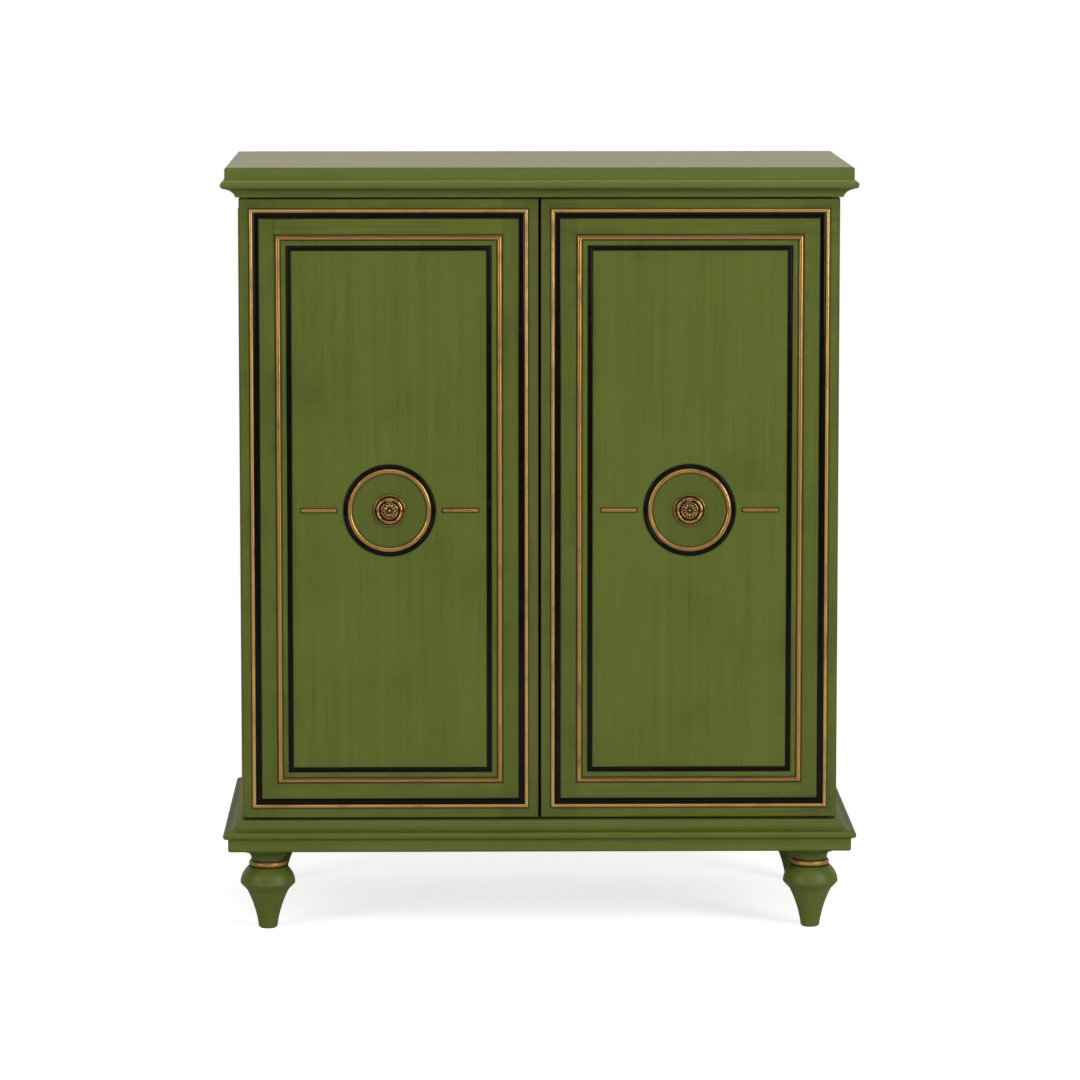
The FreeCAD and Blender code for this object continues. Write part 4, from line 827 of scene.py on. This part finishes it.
def aged_brass(name, paint, hollow):
    """Aged brass; hollow is how dark it is, or a function of places over a door that says so."""
    material, graph, shader, where = new_material(name, Specular_IOR_Level=0.5)
    if callable(hollow):
        hollow = hollow(graph, *face_places(graph, where, DOOR))
    worn = rubbed_metal(graph, where, BRASS_RUB, hollow, paint.brass, paint.brass_dark)
    graph.fill(shader, {
        "Base Color": worn["Color"],
        "Roughness": graph.times(worn["Roughness"], 0.58),
        "Metallic": graph.fade(worn["Wear"], 0.2, 1.0, start=0.92, end=0.35)})
    roughen(graph, shader, worn["Height"], strength=0.08, distance=0.1 * MM)
    return material


def plate_hollow(graph, across, up, out):
    """Dark between the rosette's petals and in the ring's trough, and duller along the rim."""
    radius = graph.radius(across, up)
    outside = graph.maths("GREATER_THAN", radius, ROSETTE_RADIUS)
    low, high = (graph.maths("MULTIPLY_ADD", outside, -TROUGH_DROP, level)
                 for level in ROSETTE_SHADE)
    shade = graph.fade(out, high, low, end=0.96)
    return graph.highest(shade, graph.fade(radius, RIM_RADIUS, RIM_RADIUS + 0.4 * MM, end=0.42))


def ring_hollow(graph, _across, _up, out):
    """Dark along the underside of the ring."""
    low, high = RING_SHADE
    return graph.fade(out, high, low, end=0.97)


def settle(graph, geometry, given, out, smooth):
    """Turn instances into one mesh with its shading and its material."""
    solid = graph.result("GeometryNodeRealizeInstances", {0: geometry})
    shaded = graph.result(
        "GeometryNodeSetShadeSmooth", {"Geometry": solid, "Shade Smooth": smooth})
    finished = graph.result(
        "GeometryNodeSetMaterial", {"Geometry": shaded, "Material": given["Material"]})
    graph.fill(out, {"Geometry": finished})


def gather(graph, socket, parts):
    """Link several parts to a socket that takes more than one."""
    for part in parts:
        graph.tree.links.new(part, socket)


def rosette_tree():
    """Petals around a circle, with a small bead between the tips of each two."""
    graph, given, out = empty_tree(
        "Rosette petals",
        {"Int": ["Petals"], "Vector": ["Place"], "Material": ["Material"],
         "Float": ["Petal Radius", "Petal Length", "Petal Width", "Petal Height", "Bead Radius"]},
        {"Geometry": ["Geometry"]}, "GeometryNodeTree")
    ball = graph.result("GeometryNodeMeshUVSphere", {"Segments": 14, "Rings": 8, "Radius": 1.0})
    position = graph.result("GeometryNodeInputPosition")
    parts = graph.split(position)
    taper = graph.maths("MULTIPLY_ADD", parts[0], 0.36, 0.64)
    shaped = graph.join({
        0: parts[0], 1: graph.times(parts[1], taper), 2: graph.times(parts[2], taper)})
    petal = graph.result("GeometryNodeSetPosition", {"Geometry": ball, "Position": shaped})

    def ring_of(instance, radius, size, turn):
        circle = graph.result(
            "GeometryNodeMeshCircle", {"Vertices": given["Petals"], "Radius": radius})
        outward = graph.result(
            "FunctionNodeAlignRotationToVector", {"Vector": position}, axis="X")
        inputs = {"Points": circle, "Instance": instance, "Rotation": outward, "Scale": size}
        placed = graph.result("GeometryNodeInstanceOnPoints", inputs)
        return graph.result(
            "GeometryNodeTransform", {"Geometry": placed, "Rotation": graph.join({2: turn})})

    size = graph.join({
        0: graph.times(given["Petal Length"], 0.5), 1: graph.times(given["Petal Width"], 0.5),
        2: given["Petal Height"]})
    petals = ring_of(petal, given["Petal Radius"], size, 0.0)
    bead_size = graph.join({axis: given["Bead Radius"] for axis in range(3)})
    tip = graph.maths("MULTIPLY_ADD", given["Petal Length"], 0.42, given["Petal Radius"])
    beads = ring_of(ball, tip, bead_size, graph.maths("DIVIDE", math.pi, given["Petals"]))
    joined = graph.node("GeometryNodeJoinGeometry")
    gather(graph, joined.inputs[0], (petals, beads))
    inputs = {"Geometry": joined.outputs[0], "Translation": given["Place"],
              "Rotation": (math.pi / 2, 0.0, 0.0)}
    placed = graph.result("GeometryNodeTransform", inputs)
    settle(graph, placed, given, out, smooth=True)
    return graph.tree


def screws_tree():
    """Two rows of pan-head screws with cross slots, heads towards the back."""
    graph, given, out = empty_tree(
        "Cross-slot screws",
        {"Int": ["Rows"], "Vector": ["First"], "Material": ["Material"],
         "Float": ["Spacing", "Head Radius", "Head Height", "Slot Length", "Slot Width"]},
        {"Geometry": ["Geometry"]}, "GeometryNodeTree")
    inputs = {"Vertices": 28, "Side Segments": 3, "Fill Segments": 2,
              "Radius Top": graph.times(given["Head Radius"], 0.72),
              "Radius Bottom": given["Head Radius"], "Depth": given["Head Height"]}
    head = graph.result("GeometryNodeMeshCone", inputs)
    lift = graph.join({2: graph.times(given["Head Height"], 0.85)})
    arms = []
    for arm in range(2):
        size = graph.join({
            arm: given["Slot Length"], 1 - arm: given["Slot Width"], 2: given["Head Height"]})
        block = graph.result("GeometryNodeMeshCube", {"Size": size})
        arms.append(graph.result(
            "GeometryNodeTransform", {"Geometry": block, "Translation": lift}))
    slotted = graph.node("GeometryNodeMeshBoolean", {0: head}, operation="DIFFERENCE")
    gather(graph, slotted.inputs[1], arms)
    inputs = {"Count": given["Rows"], "Start Location": given["First"],
              "Offset": graph.join({2: given["Spacing"]})}
    line = graph.result("GeometryNodeMeshLine", inputs)
    flip = graph.result("GeometryNodeTransform", {"Geometry": line, "Scale": (-1.0, 1.0, 1.0)})
    points = graph.node("GeometryNodeJoinGeometry")
    gather(graph, points.inputs[0], (line, flip))
    inputs = {"Points": points.outputs[0], "Instance": slotted.outputs["Mesh"],
              "Rotation": (-math.pi / 2, 0.0, 0.0)}
    placed = graph.result("GeometryNodeInstanceOnPoints", inputs)
    settle(graph, placed, given, out, smooth=False)
    return graph.tree


def sizes_of(settings):
    """A group's settings, by the names that a tree's sockets have."""
    return {key.replace("_", " ").title(): getattr(settings, key)
            for key in type(settings).__annotations__}


def grow(name, tree, values):
    """Run a geometry tree once and keep its result as a plain mesh piece."""
    piece = bpy.data.objects.new(name, bpy.data.meshes.new(name))
    bpy.context.scene.collection.objects.link(piece)
    modifier = piece.modifiers.new("shape", "NODES")
    modifier.node_group = tree
    for item in tree.interface.items_tree:
        if item.in_out == "INPUT":
            modifier[item.identifier] = values[item.name]
    evaluated = piece.evaluated_get(bpy.context.evaluated_depsgraph_get())
    mesh = bpy.data.meshes.new_from_object(evaluated)
    piece.modifiers.clear()
    piece.data = mesh
    mesh.name = name
    if not mesh.polygons:
        raise RuntimeError(f"{name} has no faces")
    return piece


class CABINET_OT_pulls(bpy.types.Operator):
    """Age the brass pulls and raise the petals of their rosettes"""

    bl_idname = "cabinet.pulls"
    bl_label = "Finish the pulls"

    def execute(self, context):
        paint = context.scene.cabinet_paint
        pull = context.scene.cabinet_pull
        plate = aged_brass("brass_plate", paint, plate_hollow)
        dress(both("pull_plate"), plate)
        dress(both("pull_ring"), aged_brass("brass_ring", paint, ring_hollow))
        tree = rosette_tree()
        for side, sign in (("left", -1), ("right", 1)):
            place = Vector(
                (sign * DOOR.across_middle, DOOR.face - pull.face_height, DOOR.up_middle))
            values = sizes_of(pull) | {"Place": place, "Material": plate}
            rosette = grow(f"{side}_rosette", tree, values)
            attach(rosette, f"{side}_door_body")
        return {"FINISHED"}


class CABINET_OT_inside(bpy.types.Operator):
    """Stain the back panel, the shelves and the blocks that are not painted"""

    bl_idname = "cabinet.inside"
    bl_label = "Stain the inside"

    def execute(self, context):
        paint = context.scene.cabinet_paint
        shelves = ["lower_shelf", "upper_shelf", "plinth_back_rail", "foot_blocks"]
        for name, stretch, nodes in (("stained_shelves", ACROSS_GRAIN, shelves),
                                     ("stained_back", UPRIGHT_GRAIN, ["back_panel"])):
            material, graph, shader, where = new_material(
                name, Roughness=0.48, Specular_IOR_Level=0.4)
            wood = stained_wood(graph, where, paint, stretch)
            graph.feed(shader.inputs["Base Color"], wood["Color"])
            roughen(graph, shader, wood["Height"], strength=0.15, distance=0.3 * MM)
            dress(nodes, material)
        return {"FINISHED"}


def speckled(name, roughness, scale, detail, dark, light):
    """Dull plastic with fine specks."""
    material, graph, shader, where = new_material(name, Roughness=roughness)
    specks = graph.noise(where, scale, detail)
    graph.feed(shader.inputs["Base Color"], graph.blend(specks, dark, light))
    roughen(graph, shader, specks, strength=0.1, distance=0.1 * MM)
    return material


class CABINET_OT_hardware(bpy.types.Operator):
    """Finish the hinges, the catch, the pins and the screws, and slot the back panel's screws"""

    bl_idname = "cabinet.hardware"
    bl_label = "Finish the hardware"

    def execute(self, context):
        paint = context.scene.cabinet_paint
        screws = context.scene.cabinet_screws
        dress(["case_hinge_leaves", "hinge_washers"] + both("door_hinge_leaves"),
              aged_brass("darkened_brass", paint, hollow=0.9))
        dress(["shelf_pins"], aged_brass("brass_pins", paint, hollow=0.1))

        steel, graph, shader, where = new_material("zinc_plate", Metallic=1.0)
        grey = graph.noise(where, 90.0, detail=4.0)
        graph.fill(shader, {
            "Base Color": graph.blend(grey, (0.30, 0.30, 0.29), (0.56, 0.56, 0.54)),
            "Roughness": graph.fade(grey, 0.3, 0.7, start=0.30, end=0.48)})
        dress(["case_screws", "top_board_screws", "case_hardware_screws", "foot_bolts",
               "catch_magnets"] + both("door_screws", "strike_plate"), steel)
        dress(["magnetic_catch"], speckled(
            "catch_plastic", roughness=0.5, scale=700.0, detail=2.0,
            dark=(0.010, 0.008, 0.007), light=(0.024, 0.020, 0.017)))
        dress(["foot_glides"], speckled(
            "glide_nylon", roughness=0.55, scale=260.0, detail=3.0,
            dark=(0.15, 0.12, 0.07), light=(0.22, 0.18, 0.11)))

        low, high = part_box("back_panel_screws")
        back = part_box("back_panel")[1].y
        first = Vector((low.x + screws.head_radius, back, low.z + screws.head_radius))
        spacing = (high.z - low.z - screws.head_radius * 2) / (screws.rows - 1)
        values = sizes_of(screws) | {"First": first, "Spacing": spacing, "Material": steel}
        heads = grow("back_screw_heads", screws_tree(), values)
        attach(heads, "case_body")
        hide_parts("back_panel_screws")
        return {"FINISHED"}


def stand(name, data, place, aim):
    """A lamp or a camera in its place, pointed at a spot."""
    made = bpy.data.objects.new(name, data)
    made.location = place
    made.rotation_euler = (Vector(aim) - Vector(place)).to_track_quat("-Z", "Y").to_euler()
    bpy.context.scene.collection.objects.link(made)
    return made


def light_sky(stage):
    """White to the camera; to glossy paint, white behind the object and a dim room in front."""
    world = bpy.data.worlds.new("studio")
    bpy.context.scene.world = world
    world.use_nodes = True
    graph = Graph(world.node_tree)
    rays = graph.node("ShaderNodeLightPath").outputs
    way = graph.split(graph.node("ShaderNodeTexCoord").outputs["Generated"])
    behind = graph.times(graph.fade(way[1], 0.1, 0.6), graph.fade(way[2], -0.04, 0.08))
    behind = graph.fade(behind, 0.0, 1.0, start=stage.room, end=1.0)
    shiny = graph.highest(rays["Is Glossy Ray"], rays["Is Transmission Ray"])
    level = graph.blend(shiny, stage.fill, behind, "FLOAT")
    graph.fill(world.node_tree.nodes["Background"], {
        "Color": graph.blend(shiny, WHITE, stage.backdrop),
        "Strength": graph.blend(rays["Is Camera Ray"], level, 1.0, "FLOAT")})


def lay_floor(stage):
    """A pale floor that keeps the shadow and reaches white towards the camera."""
    mesh = bpy.data.meshes.new("floor")
    half = FLOOR_HALF
    corners = [(-half, -half, 0), (half, -half, 0), (half, half, 0), (-half, half, 0)]
    mesh.from_pydata(corners, [], [(0, 1, 2, 3)])
    floor = bpy.data.objects.new("floor", mesh)
    bpy.context.scene.collection.objects.link(floor)
    material, graph, shader, _ = new_material("pale_floor", Roughness=0.9, Specular_IOR_Level=0.0)
    rays = graph.node("ShaderNodeLightPath").outputs
    graph.fill(shader, {
        "Base Color": stage.floor_colour, "Emission Color": WHITE,
        "Emission Strength": graph.times(rays["Is Camera Ray"], stage.floor_lift)})
    mesh.materials.append(material)


class CABINET_OT_stage(bpy.types.Operator):
    """Set the floor, the lamps and the camera"""

    bl_idname = "cabinet.stage"
    bl_label = "Set the stage"

    def execute(self, context):
        stage = context.scene.cabinet_stage
        light_sky(stage)
        lay_floor(stage)
        for name, (place, width, height, power) in SOFT_BOXES.items():
            data = bpy.data.lights.new(name, "AREA")
            data.shape = "RECTANGLE"
            data.size = width
            data.size_y = height
            data.energy = power
            stand(name, data, place, SOFT_BOX_AIM)
        data = bpy.data.cameras.new("camera")
        data.lens = stage.lens
        data.sensor_width = SENSOR_WIDTH
        data.clip_end = FAR_CLIP
        context.scene.camera = stand("camera", data, stage.camera_place, stage.camera_aim)
        context.scene.view_settings.view_transform = "Standard"
        return {"FINISHED"}


OPERATORS = (
    CABINET_OT_case, CABINET_OT_sides, CABINET_OT_doors, CABINET_OT_mouldings, CABINET_OT_feet,
    CABINET_OT_pulls, CABINET_OT_inside, CABINET_OT_hardware, CABINET_OT_stage,
)
SETTINGS = (
    ("cabinet_paint", PaintSettings),
    ("cabinet_pull", PullSettings),
    ("cabinet_screws", ScrewSettings),
    ("cabinet_stage", StageSettings),
)


class CABINET_PT_panel(bpy.types.Panel):
    """The cabinet's settings and steps"""

    bl_label = "Cabinet"
    bl_idname = "CABINET_PT_panel"
    bl_space_type = "VIEW_3D"
    bl_region_type = "UI"
    bl_category = "Cabinet"

    def draw(self, context):
        for name, settings in SETTINGS:
            box = self.layout.box()
            for key in settings.__annotations__:
                box.prop(getattr(context.scene, name), key)
        for operator in OPERATORS:
            self.layout.operator(operator.bl_idname)


def register():
    for name, settings in SETTINGS:
        bpy.utils.register_class(settings)
        setattr(bpy.types.Scene, name, bpy.props.PointerProperty(type=settings))
    for made in (*OPERATORS, CABINET_PT_panel):
        bpy.utils.register_class(made)


def unregister():
    for made in reversed((*OPERATORS, CABINET_PT_panel)):
        bpy.utils.unregister_class(made)
    for name, settings in reversed(SETTINGS):
        delattr(bpy.types.Scene, name)
        bpy.utils.unregister_class(settings)


def main():
    register()
    bpy.ops.cabinet.case()
    bpy.ops.cabinet.sides()
    bpy.ops.cabinet.doors()
    bpy.ops.cabinet.mouldings()
    bpy.ops.cabinet.feet()
    bpy.ops.cabinet.pulls()
    bpy.ops.cabinet.inside()
    bpy.ops.cabinet.hardware()
    bpy.ops.cabinet.stage()


if __name__ == "__main__":
    main()
